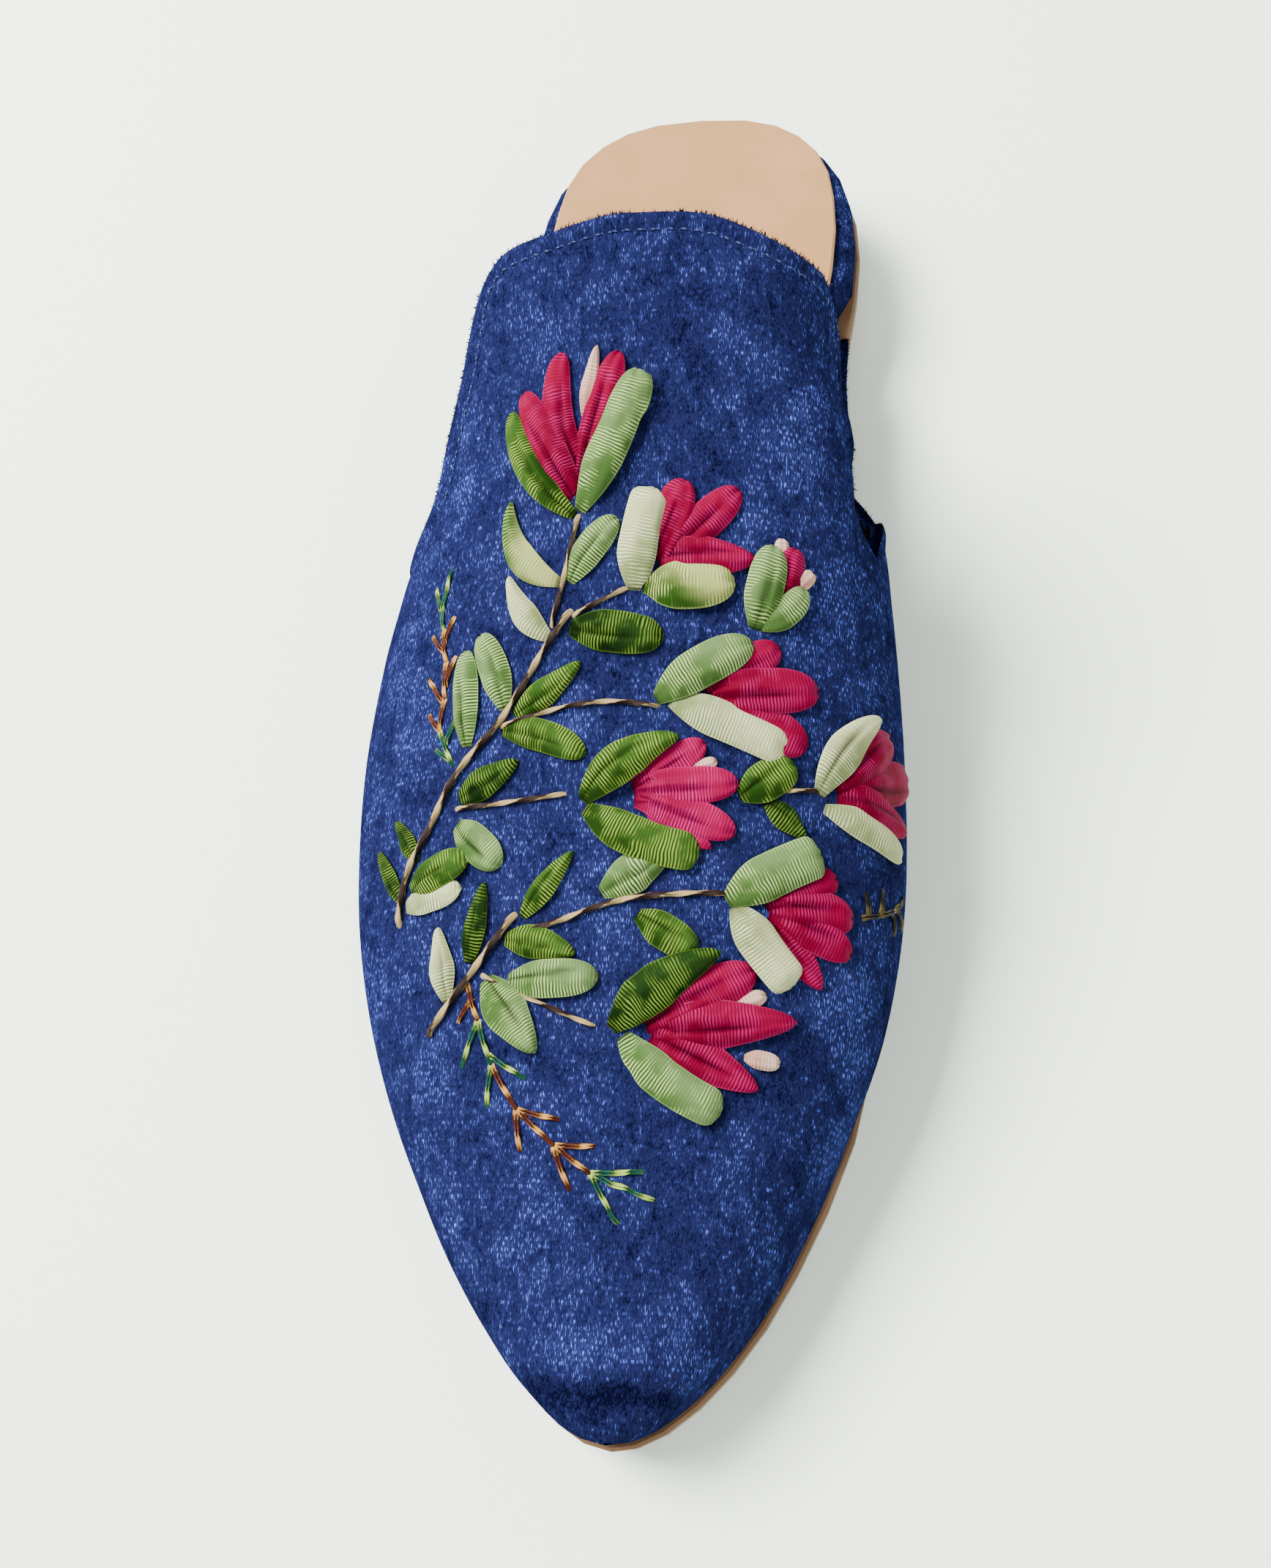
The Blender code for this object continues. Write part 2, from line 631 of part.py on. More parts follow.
def half_upper(side, lap, y, depth):
    """Points of one side of the upper's surface at laps 0 to 2 and places y, depth inside it."""
    wide = np.stack(EDGE.edge(side, y, depth - BULGE[side](y)), axis=-1)
    foot = np.stack(EDGE.edge(side, y, depth + FEATHER_INSET), axis=-1)
    nose = np.clip(1 - (y - TOE_Y) / TOE_ROUND, 0.0, 1.0)
    ridge_x = RIDGE_X(y) + (EDGE.tip_x - RIDGE_X(TOE_Y)) * nose
    ridge = np.stack([ridge_x, y + (depth - BULGE[side](TOE_Y)) * nose], axis=-1)
    foot_z = outsole_top(y) + PIECE_GAP
    wide_z = foot_z + WIDEST_RISE(y)
    ridge_z = wide_z + (RIDGE_HEIGHT(y) - depth - wide_z) * np.sqrt(1 - nose**2)
    power = 2 / SQUARENESS[side](y)
    angle = np.clip(lap, 0, 1) * np.pi / 2
    out, rise = np.sin(angle) ** power, np.cos(angle) ** power
    above = ridge + (wide - ridge) * out[..., None]
    above[..., 0] -= tuck(side, lap, y)
    above_z = wide_z + (ridge_z - wide_z) * rise
    drop = np.clip(lap - 1, 0, 1)
    below = foot + (wide - foot) * (1 - drop**2)[..., None]
    below_z = wide_z + (foot_z - wide_z) * drop
    low = lap > 1
    plan = np.where(low[..., None], below, above)
    return np.concatenate([plan, np.where(low, below_z, above_z)[..., None]], axis=-1)


def upper_surface(laps, y, depth=0.0):
    """Points of the upper's surface at laps -2 to 2 and places y, depth inside it."""
    laps, y = np.broadcast_arrays(np.asarray(laps, float), np.asarray(y, float))
    outer = half_upper(-1, np.abs(laps), y, depth)
    inner = half_upper(1, np.abs(laps), y, depth)
    return np.where((laps < 0)[..., None], outer, inner)


def lap_length(laps, y):
    """Length over the surface of one lap, at laps and places y."""
    step = 0.02
    ahead = upper_surface(laps + step, y)
    return np.linalg.norm(ahead - upper_surface(laps - step, y), axis=-1) / (2 * step)


def topline(inset=0.0):
    """Laps and y along the topline, or along a line inset inside it over the surface."""
    rows = np.array(TOPLINE) * (LAP_SPACING, 1.0)
    line = smooth_curve(rows, TOPLINE_SAMPLES, closed=False) / (LAP_SPACING, 1.0)
    laps, y = line.T
    scale = lap_length(laps, y)
    along = np.column_stack([np.gradient(laps) * scale, np.gradient(y)])
    along /= np.linalg.norm(along, axis=1)[:, None]
    inside = np.column_stack([along[:, 1] / scale, -along[:, 0]])
    return line + inside * inset


def inside_of(loop, points):
    """Which points lie inside a closed loop, counting the loop's crossings of a ray."""
    start, end = loop, np.roll(loop, -1, axis=0)
    found = np.zeros(len(points), bool)
    for (x1, y1), (x2, y2) in zip(start, end):
        crosses = (y1 > points[:, 1]) != (y2 > points[:, 1])
        if y1 != y2:
            found ^= crosses & (points[:, 0] < x1 + (points[:, 1] - y1) * (x2 - x1) / (y2 - y1))
    return found


def clear_of(points, lines, gap):
    """The points that lie further than gap from every point of lines, over the surface."""
    scale = np.column_stack([lap_length(*points.T), np.ones(len(points))])
    apart = (points[:, None] - lines[None]) * scale[:, None]
    return points[np.min(np.linalg.norm(apart, axis=-1), axis=1) > gap]


class UpperPattern:
    """The upper laid flat: points as laps and y, triangles, and how far each point is raised.

    The points begin with the topline from outer to inner side. Rims are the runs of points along
    the topline and along each side's feather line.
    """

    def __init__(self):
        edge = topline()
        stations = TOE_Y + (edge[:, 1].max() - TOE_Y) * np.linspace(0, 1, UPPER_STATIONS + 1) ** 1.7
        below = 1 + np.linspace(0, 1, ROWS_BELOW_WIDEST + 1)[1:]
        laps = np.concatenate([np.linspace(0, 1, ROWS_ABOVE_WIDEST + 1), below])
        laps = np.concatenate([-laps[:0:-1], laps])
        foot_y = stations[(stations > TOE_Y) & (stations < WING_END_Y - 2)]
        inner_foot = np.column_stack([np.full(len(foot_y), 2.0), foot_y[::-1]])
        toe = np.column_stack([laps[::-1], np.full(len(laps), TOE_Y)])
        outer_foot = np.column_stack([np.full(len(foot_y), -2.0), foot_y])
        outline = np.vstack([edge, inner_foot, toe, outer_foot])
        hems = [clear_of(topline(inset), outline, inset * 0.8) for inset in (HEM_WIDTH - HEM_STEP, HEM_WIDTH)]
        field = np.array([(lap, y) for y in stations[1:] for lap in laps[1:-1]])
        field = clear_of(field, np.vstack([edge, *hems]), FIELD_CLEARANCE)
        field = field[inside_of(np.vstack([topline(HEM_WIDTH), inner_foot, toe, outer_foot]), field)]
        self.points = np.vstack([outline, *hems, field])
        self.raised = np.zeros(len(self.points))
        self.raised[: len(edge)] = HEM_RISE * 0.6
        self.raised[len(outline) : len(outline) + len(hems[0])] = HEM_RISE
        first_toe = len(edge) + len(inner_foot)
        last_toe = first_toe + len(toe) - 1
        self.topline_rim = list(range(len(edge)))
        self.foot_rims = [
            list(range(len(edge) - 1, first_toe + 1)),
            [*range(last_toe, len(outline)), 0],
        ]
        flat = [Vector(point) for point in self.points * (LAP_SPACING, 1.0)]
        loop = list(range(len(outline)))
        _, _, triangles, origins, _, _ = delaunay_2d_cdt(flat, [], [loop], 1, 1e-5)
        self.triangles = [tuple(origins[i][0] for i in triangle) for triangle in triangles]


def build_upper():
    """Velvet upper as one wall, open at the topline and underneath, with its folded hem as a step."""
    pattern = UpperPattern()
    laps, y = pattern.points.T
    size = len(pattern.points)
    rim = pattern.topline_rim
    outside = upper_surface(laps, y, -pattern.raised)
    inside = upper_surface(laps, y, UPPER_WALL)
    rolled = (outside[rim] + inside[rim]) / 2
    points = np.concatenate([outside, inside, rolled])
    faces = pattern.triangles + [tuple(size + i for i in reversed(each)) for each in pattern.triangles]
    for i, after in zip(rim, rim[1:]):
        faces.append((after, i, 2 * size + i, 2 * size + after))
        faces.append((2 * size + after, 2 * size + i, size + i, size + after))
    for i in (rim[0], rim[-1]):
        faces.append((i, size + i, 2 * size + i))
    for foot in pattern.foot_rims:
        for i, after in zip(foot, foot[1:]):
            faces.append((after, i, size + i, size + after))
    return add_solid("upper", points, faces, VELVET)


def over_velvet(flat, height):
    """Points standing height outside the velvet, from girths and y."""
    girth, y = flat.T
    shares = np.linspace(0, 1.3, 79)
    laps = np.zeros(len(flat))
    for i, (length, place) in enumerate(flat):
        side = 1 if length >= 0 else -1
        chain = upper_surface(side * shares, place)
        travelled = np.append(0, np.cumsum(np.linalg.norm(np.diff(chain, axis=0), axis=1)))
        laps[i] = side * np.interp(abs(length), travelled, shares)
    across = upper_surface(laps + 0.01, y) - upper_surface(laps - 0.01, y)
    along = upper_surface(laps, y + 0.2) - upper_surface(laps, y - 0.2)
    outward = np.cross(across, along)
    outward /= np.linalg.norm(outward, axis=1)[:, None]
    return upper_surface(laps, y) + outward * height[:, None]


def ribbon_half_width(share, width):
    """Half a ribbon's width along it: gathered at the base, full in the middle, rounded at the tip."""
    opening = RIBBON_NECK + (1 - RIBBON_NECK) * np.sin(np.clip(share / RIBBON_OPENING, 0, 1) * np.pi / 2)
    past = np.clip(share - 1 + RIBBON_CLOSING, 0, 1) / RIBBON_CLOSING
    closing = np.sqrt(np.clip(1 - past**2, 0, 1))
    return width / 2 * opening * np.maximum(closing, RIBBON_TIP)


def ribbon_flat(base, tip, width, bow, steps, rows):
    """Girths and y over a ribbon as a grid of steps along it and rows across it."""
    share = np.linspace(0, 1, steps + 1)
    run = tip - base
    aside = np.array([-run[1], run[0]])
    middle = base + run * share[:, None] + aside * (bow * 4 * share * (1 - share))[:, None]
    ahead = np.gradient(middle, axis=0)
    ahead /= np.linalg.norm(ahead, axis=1)[:, None]
    over = np.column_stack([-ahead[:, 1], ahead[:, 0]]) * ribbon_half_width(share, width)[:, None]
    return middle[:, None] + over[:, None] * np.linspace(-1, 1, rows + 1)[None, :, None]


def add_plate(name, flat, edge, faces, lift, finish):
    """A thin solid over the velvet: its middle stands higher than its edge.

    Flat holds girths and y of its points, edge the numbers of those round its edge in order.
    """
    rise = np.full(len(flat), RIBBON_RISE)
    rise[edge] = RIBBON_EDGE
    size = len(flat)
    points = np.concatenate([over_velvet(flat, lift + rise), over_velvet(flat, np.full(size, lift))])
    solid = faces + [tuple(size + i for i in reversed(face)) for face in faces]
    for i, after in zip(edge, edge[1:] + edge[:1]):
        solid.append((after, i, size + i, size + after))
    return add_solid(name, points, solid, finish)


def build_ribbon(name, base, tip, width, bow, layer, finish):
    """One sepal or leaf."""
    grid = ribbon_flat(base, tip, width, bow, RIBBON_STEPS, RIBBON_ROWS)
    row = RIBBON_ROWS + 1
    last = RIBBON_STEPS * row
    faces = [
        (i * row + j, i * row + j + 1, (i + 1) * row + j + 1, (i + 1) * row + j)
        for i in range(RIBBON_STEPS)
        for j in range(RIBBON_ROWS)
    ]
    edge = list(range(row)) + list(range(2 * row - 1, last + row, row))
    edge += list(range(last + row - 2, last - 1, -1)) + list(range(last - row, 0, -row))
    lift = RIBBON_LIFT + RIBBON_LAYER * layer
    return add_plate(name, grid.reshape(-1, 2), edge, faces, lift, finish)


def build_petals(name, petals):
    """The petals of one blossom as one fan: its edge is the outline round all of them."""
    rows = np.array(petals)
    base, tips = rows[:, :2].mean(axis=0), rows[:, 2:4]
    outlines = []
    for each in rows:
        grid = ribbon_flat(each[:2], each[2:4], each[4], 0.0, PETAL_STEPS, 2)
        outlines.append(np.vstack([grid[:, 0], grid[::-1, -1]]))
    aim = np.arctan2(*(tips.mean(axis=0) - base)[::-1])
    angles = np.sort(np.mod(np.arctan2(*(tips - base).T[::-1]) - aim + np.pi, 2 * np.pi) - np.pi)
    before, after = angles[0] - PETAL_SIDE_RAYS, angles[-1] + PETAL_SIDE_RAYS[::-1]
    middle_rays = PETAL_RAYS - 2 * len(PETAL_SIDE_RAYS) - 1
    spread = np.linspace(angles[0] - FAN_MARGIN, angles[-1] + FAN_MARGIN, middle_rays)
    rays = np.concatenate([before, spread, after, [np.pi]]) + aim
    radii = np.full(PETAL_RAYS, FAN_RADIUS)
    for i, ray in enumerate(rays):
        along = base + FAN_REACH[:, None] * (np.cos(ray), np.sin(ray))
        for outline in outlines:
            met = FAN_REACH[inside_of(outline, along)]
            radii[i] = max([radii[i], *met[-1:]])
    heading = np.column_stack([np.cos(rays), np.sin(rays)])
    flat = np.vstack([base, *[base + heading * (radii * ring)[:, None] for ring in PETAL_RINGS]])
    faces = []
    for i in range(PETAL_RAYS):
        after = (i + 1) % PETAL_RAYS
        faces.append((0, 1 + i, 1 + after))
        for low in range(1, 1 + (len(PETAL_RINGS) - 1) * PETAL_RAYS, PETAL_RAYS):
            high = low + PETAL_RAYS
            faces.append((low + i, high + i, high + after, low + after))
    edge = list(range(len(flat) - PETAL_RAYS, len(flat)))
    return add_plate(name + "_petals", flat, edge, faces, PETAL_LIFT, CRIMSON_RIBBON)


def build_ribbon_flowers():
    """Every blossom and leaf worked on the velvet."""
    for name, petals in PETALS.items():
        build_petals(name, petals)
    for ribbons, finish in (
        (GREEN_RIBBONS, GREEN_RIBBON),
        (PALE_RIBBONS, PALE_RIBBON),
        (CREAM_RIBBONS, CREAM_RIBBON),
    ):
        for name, base_girth, base_y, tip_girth, tip_y, width, bow, layer in ribbons:
            base, tip = np.array([base_girth, base_y]), np.array([tip_girth, tip_y])
            build_ribbon(name, base, tip, width, bow, layer, finish)


def main():
    """Builds every piece of the shoe."""
    clear_scene()
    build_outsole()
    build_heel()
    build_board()
    build_sock()
    build_upper()
    build_ribbon_flowers()


main()
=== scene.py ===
"""Embroidered velvet mule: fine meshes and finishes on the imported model, with a plain studio.

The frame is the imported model's: toe to -Y, inner side to +X, floor at Z = 0. Sizes are in
millimetres and are scaled by MM where a mesh is made.
"""

import json
import logging
import math
from dataclasses import dataclass, field
from enum import Enum, IntEnum
from typing import Callable, Sequence

import bpy
import numpy as np
from mathutils import Matrix, Quaternion, Vector
from mathutils.geometry import delaunay_2d_cdt

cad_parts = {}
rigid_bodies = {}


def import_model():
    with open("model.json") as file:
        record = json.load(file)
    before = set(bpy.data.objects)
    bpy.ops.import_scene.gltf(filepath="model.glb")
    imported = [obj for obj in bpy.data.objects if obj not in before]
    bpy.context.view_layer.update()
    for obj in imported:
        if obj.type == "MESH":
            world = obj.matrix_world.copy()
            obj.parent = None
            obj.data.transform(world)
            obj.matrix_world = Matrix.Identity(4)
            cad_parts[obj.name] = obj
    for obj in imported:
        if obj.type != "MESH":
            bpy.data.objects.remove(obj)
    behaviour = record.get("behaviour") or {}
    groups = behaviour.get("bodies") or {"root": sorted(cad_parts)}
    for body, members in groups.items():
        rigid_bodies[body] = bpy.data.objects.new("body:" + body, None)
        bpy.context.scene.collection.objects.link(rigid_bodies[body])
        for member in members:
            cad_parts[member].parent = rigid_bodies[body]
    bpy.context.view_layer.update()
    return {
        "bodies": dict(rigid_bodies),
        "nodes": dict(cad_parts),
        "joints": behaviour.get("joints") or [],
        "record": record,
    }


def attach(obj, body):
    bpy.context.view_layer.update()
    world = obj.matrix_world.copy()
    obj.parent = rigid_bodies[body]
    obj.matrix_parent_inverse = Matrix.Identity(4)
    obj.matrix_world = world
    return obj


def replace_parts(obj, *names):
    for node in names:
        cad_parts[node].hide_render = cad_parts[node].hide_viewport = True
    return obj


LOG = logging.getLogger("mule")
MM = 0.001
ROOT = "root"
# UV maps hold millimetres divided by this.
UV_SCALE = 100.0

Numbers = np.ndarray | float
Colour = tuple[float, float, float]
Point = tuple[float, float]
Place = tuple[float, float, float]
Span = tuple[float, float]
Scale = tuple[float, float, float]
Table = Sequence[Sequence[float]]
Faces = list[tuple[int, ...]]
Maps = dict[str, np.ndarray]
Sockets = Sequence[tuple[str, str]]


# Sizes shared with the solid model.
LENGTH = 259.6
TOE_Y = -LENGTH / 2
HEEL_Y = LENGTH / 2
PIECE_GAP = 0.3
OUTSOLE_THICKNESS = 3.5
TREAD_START_Y = -80.0
TREAD_END_Y = -34.0
SEAT_START_Y = 67.0
TOE_SPRING = 7.5
TOE_SPRING_POWER = 1.8
SEAT_HEIGHT = 12.6
WING_END_Y = 73.0
FEATHER_LAP = 2.0
TONGUE_LAP = 0.72
TOP_HEM_LAP = 0.56
HEM_CHANGE = 0.16

OUTSOLE_EDGE = (
    (4.5, TOE_Y), (21.3, -118.0), (32.6, -98.0), (39.0, -81.0), (42.5, -63.0), (43.6, -38.0),
    (41.0, -9.0), (36.0, 21.0), (32.4, 51.0), (34.6, 77.0), (35.9, 95.0), (30.8, 116.3),
    (18.0, 127.4), (2.2, HEEL_Y), (-13.6, 127.4), (-26.4, 116.3), (-31.6, 95.0), (-33.2, 73.0),
    (-37.4, 43.0), (-41.8, 7.0), (-43.6, -31.0), (-41.0, -60.0), (-35.2, -81.0), (-27.6, -98.0),
    (-13.4, -118.0),
)

# How far the upper's widest line stands past the outsole's edge. Columns: y, outer side, inner side.
BULGES = (
    (TOE_Y, -0.8, -0.8),
    (-115.0, -0.6, -1.8),
    (-98.0, -0.4, -1.8),
    (-82.0, 0.8, -0.5),
    (-65.0, 2.1, 1.7),
    (-45.0, 3.5, 3.1),
    (-25.0, 4.3, 3.8),
    (-7.0, 3.3, 4.6),
    (4.0, 1.7, 5.1),
    (12.0, 0.4, 5.6),
    (18.0, -0.1, 5.7),
    (23.0, 0.0, 4.9),
    (27.0, 0.1, 3.6),
    (32.0, 0.2, 2.0),
    (42.0, 0.5, 2.8),
    (52.0, 0.7, 2.4),
    (62.0, 0.7, 1.4),
    (74.0, 0.6, 0.6),
)

# Columns: y, height of the widest line above the outsole, height of the ridge above the floor, x of
# the ridge, and how square the section is over the outer and over the inner side (2 is an ellipse).
UPPER_SECTIONS = (
    (-130.0, 5.0, 23.0, 4.5, 2.7, 2.7),
    (-115.0, 6.0, 25.0, 5.0, 2.7, 2.8),
    (-98.0, 8.0, 28.5, 5.4, 2.6, 2.8),
    (-65.0, 11.0, 36.0, 5.8, 2.4, 2.7),
    (-33.0, 13.0, 45.0, 5.8, 2.2, 2.6),
    (0.0, 15.5, 56.0, 5.2, 2.1, 2.8),
    (18.0, 16.5, 62.5, 4.6, 2.1, 3.3),
    (26.0, 15.0, 65.6, 4.4, 2.2, 3.8),
    (35.0, 12.0, 69.0, 4.0, 2.3, 4.2),
    (50.0, 8.0, 75.2, 3.2, 2.4, 4.5),
    (74.0, 5.0, 82.0, 3.0, 2.4, 4.5),
)

# How far the inner side is tucked in above the wing, where the tongue's edge falls inside it.
# Columns: y, depth.
TUCKS = (
    (2.0, 0.0),
    (6.0, 0.9),
    (10.0, 2.6),
    (15.0, 3.8),
    (20.0, 3.7),
    (25.0, 1.6),
    (30.0, 0.3),
    (34.0, 0.0),
)

# Topline from the outer side's end, over the tongue, to the inner side's end. Columns: lap, y.
# Lap 0 is the ridge, 1 the widest line and 2 the feather line; laps of the outer side are negative.
TOPLINE = (
    (-2.00, 73.0), (-1.60, 72.0), (-1.36, 67.0), (-1.22, 58.0), (-1.15, 48.0), (-1.10, 37.0),
    (-1.05, 27.0), (-0.97, 18.5), (-0.86, 13.6), (-0.75, 12.8), (-0.66, 15.5), (-0.615, 21.0),
    (-0.57, 28.0), (-0.53, 35.0), (-0.495, 42.5), (-0.45, 47.6), (-0.39, 49.8), (-0.28, 50.0),
    (-0.15, 50.0), (0.00, 50.9), (0.12, 48.9), (0.30, 46.6), (0.50, 46.2), (0.62, 46.0),
    (0.70, 43.0), (0.75, 37.0), (0.78, 31.0), (0.79, 25.0), (0.785, 19.5), (0.765, 14.5),
    (0.745, 10.6), (0.75, 8.2), (0.80, 7.6), (0.86, 10.0), (0.92, 14.2), (0.98, 19.8), (1.04, 26.0),
    (1.09, 32.0), (1.13, 39.0), (1.17, 47.0), (1.24, 58.0), (1.38, 67.0), (1.60, 72.0),
    (2.00, 73.0),
)


# Painted sheen and shade of the pile: where it is drawn lighter or darker, as light falls on the brushed
# pile.
# Columns: girth and y of the middle, half width across and along, heading in degrees, amount.
PAINTED_SHEEN_MARKS = (
    (2.0, -117.6, 14.0, 3.4, 0.0, 0.08),
    (2.0, -123.6, 16.0, 2.1, 0.0, -0.17),
    (2.0, -128.4, 16.0, 2.0, 0.0, -0.02),
    (-12.0, -101.0, 5.0, 8.0, 20.0, 0.05),
    (14.0, -98.0, 7.0, 7.0, -15.0, 0.01),
    (24.0, -84.0, 5.0, 8.0, 10.0, -0.06),
    (-26.0, -84.0, 5.0, 9.0, 15.0, 0.04),
    (34.0, -64.0, 5.0, 9.0, 10.0, 0.07),
    (-42.0, -46.0, 5.0, 16.0, 0.0, 0.06),
    (-44.0, -14.0, 5.0, 14.0, 0.0, 0.03),
    (36.0, -12.0, 6.0, 10.0, 0.0, 0.06),
    (26.0, 17.0, 4.0, 9.0, 15.0, 0.10),
    (17.0, 7.0, 5.0, 4.0, 0.0, 0.09),
    (30.0, 36.0, 4.0, 7.0, 10.0, 0.07),
    (8.0, 28.0, 8.0, 8.0, 0.0, -0.03),
    (-14.0, 38.0, 7.0, 5.0, 0.0, 0.01),
    (2.0, 36.0, 15.0, 9.0, 0.0, -0.02),
    (2.0, -102.5, 13.0, 4.5, 0.0, -0.05),
    (-34.0, 20.0, 4.0, 14.0, 0.0, 0.05),
    (8.0, -44.0, 6.0, 5.0, 0.0, 0.05),
    (4.0, -88.0, 8.0, 5.0, 0.0, -0.03),
    (24.0, -100.0, 6.0, 8.0, 0.0, 0.03),
    (38.0, -82.0, 7.0, 12.0, 10.0, 0.06),
    (-6.0, -50.0, 14.0, 8.0, 0.0, 0.04),
    (-12.0, -26.0, 9.0, 7.0, 0.0, 0.04),
)


# Soft ridges (positive) and troughs (negative) of the velvet over the last.
# Columns: girth and y of the middle, half width across and along, heading in degrees, rise.
CREASES = (
    (2.0, -119.0, 15.0, 2.4, 0.0, 0.55),
    (2.0, -123.8, 13.0, 2.1, 0.0, -0.45),
    (-16.0, -110.0, 3.5, 5.5, 25.0, -0.50),
    (24.0, 12.0, 1.9, 9.0, 31.0, 0.45),
    (20.0, 10.5, 2.0, 7.0, 31.0, -0.40),
    (-33.0, 16.0, 2.2, 12.0, -6.0, 0.40),
    (-29.0, 13.0, 2.2, 11.0, -6.0, -0.35),
    (-14.5, 41.0, 1.8, 4.5, 30.0, -0.35),
    (-10.5, 40.5, 1.8, 4.0, 20.0, 0.30),
    (10.0, 39.5, 2.0, 4.5, -20.0, -0.35),
    (14.5, 38.5, 1.8, 4.0, -25.0, 0.30),
    (-43.0, -54.0, 2.6, 9.0, -10.0, -0.40),
    (41.0, -22.0, 2.4, 10.0, 8.0, -0.40),
    (37.5, -20.0, 2.2, 10.0, 8.0, 0.35),
)


def soft_marks(rows: Table, girth: np.ndarray, y: np.ndarray) -> np.ndarray:
    """The sum of soft oval marks.

    Args:
        rows: Middle, half widths, heading and amount of each mark.
        girth: Places over the surface from the ridge.
        y: Places along the shoe.

    Returns:
        One amount for each place.
    """
    total = np.zeros(np.shape(girth))
    for mark_girth, mark_y, half_across, half_along, heading, amount in rows:
        turn = math.radians(heading)
        across, along = girth - mark_girth, y - mark_y
        over = (across * math.cos(turn) + along * math.sin(turn)) / half_across
        up = (along * math.cos(turn) - across * math.sin(turn)) / half_along
        total += amount * np.exp(-(over**2 + up**2))
    return total


def ease(share: Numbers) -> np.ndarray:
    """0 to 1 with level ends."""
    share = np.clip(share, 0.0, 1.0)
    return share * share * (3 - 2 * share)


def unit(rows: np.ndarray) -> np.ndarray:
    """Each row scaled to length 1."""
    return rows / np.linalg.norm(rows, axis=-1, keepdims=True)


def travelled_along(points: np.ndarray) -> np.ndarray:
    """Length travelled to each point of a row of points."""
    return np.concatenate([[0], np.cumsum(np.linalg.norm(np.diff(points, axis=0), axis=1))])


def smooth_curve(points: Table, count: int, closed: bool) -> np.ndarray:
    """A smooth curve through points: a cubic spline on chord length.

    Args:
        points: Rows of coordinates that the curve passes through.
        count: How many places to read along it.
        closed: Whether it returns to its start.

    Returns:
        The places, evenly spaced along the chords.
    """
    knots = np.array(points if not closed else [*points, points[0]], float)
    step = np.linalg.norm(np.diff(knots, axis=0), axis=1)
    slope = np.diff(knots, axis=0) / step[:, None]
    last = len(step)
    bend = np.eye(last + 1)
    load = np.zeros((last + 1, knots.shape[1]))
    for i in range(0 if closed else 1, last):
        bend[i, i] = 2 * (step[i - 1] + step[i])
        bend[i, (i - 1) % last if closed else i - 1] += step[i - 1]
        bend[i, i + 1] += step[i]
        load[i] = 6 * (slope[i] - slope[i - 1])
    if closed:
        bend[last, 0] = -1.0
    second = np.linalg.solve(bend, load)
    start = travelled_along(knots)
    travelled = np.linspace(0, start[-1], count, endpoint=not closed)
    span = np.clip(np.searchsorted(start, travelled, side="right") - 1, 0, last - 1)
    width = step[span][:, None]
    along = (travelled - start[span])[:, None]
    left = width - along
    return (
        (second[span] * left**3 + second[span + 1] * along**3) / (6 * width)
        + (knots[span] / width - second[span] * width / 6) * left
        + (knots[span + 1] / width - second[span + 1] * width / 6) * along
    )


def read_table(rows: Table, column: int) -> Callable[[Numbers], np.ndarray]:
    """A function that reads one column of a table at any place, smoothly and without overshoot.

    Args:
        rows: The table; its first column is the place.
        column: The column to read.

    Returns:
        The reading function.
    """
    places = np.array([row[0] for row in rows], float)
    values = np.array([row[column] for row in rows], float)
    slopes = np.diff(values) / np.diff(places)
    tangents = np.zeros(len(values))
    tangents[0], tangents[-1] = slopes[0], slopes[-1]
    for i in range(1, len(values) - 1):
        if slopes[i - 1] * slopes[i] > 0:
            tangents[i] = 2 * slopes[i - 1] * slopes[i] / (slopes[i - 1] + slopes[i])

    def read(place: Numbers) -> np.ndarray:
        """Reads the column.

        Args:
            place: Where to read; past the table's ends its end values hold.

        Returns:
            The column's value at each place.
        """
        place = np.clip(np.asarray(place, float), places[0], places[-1])
        span = np.clip(np.searchsorted(places, place, side="right") - 1, 0, len(slopes) - 1)
        width = places[span + 1] - places[span]
        share = (place - places[span]) / width
        rise = ease(share)
        return (
            (1 - rise) * values[span]
            + rise * values[span + 1]
            + (share**3 - 2 * share**2 + share) * width * tangents[span]
            + (share**3 - share**2) * width * tangents[span + 1]
        )

    return read


def outsole_top(y: Numbers) -> np.ndarray:
    """Height of the outsole's upper face.

    Args:
        y: Places along the shoe.

    Returns:
        The height over the floor at each place.
    """
    y = np.asarray(y, float)
    toe = np.clip((TREAD_START_Y - y) / (TREAD_START_Y - TOE_Y), 0.0, 1.0)
    shank = ease((y - TREAD_END_Y) / (SEAT_START_Y - TREAD_END_Y))
    return TOE_SPRING * toe**TOE_SPRING_POWER + SEAT_HEIGHT * shank + OUTSOLE_THICKNESS


class Side(IntEnum):
    """The shoe's two sides, as the sign of their laps and girths."""

    OUTER = -1
    INNER = 1


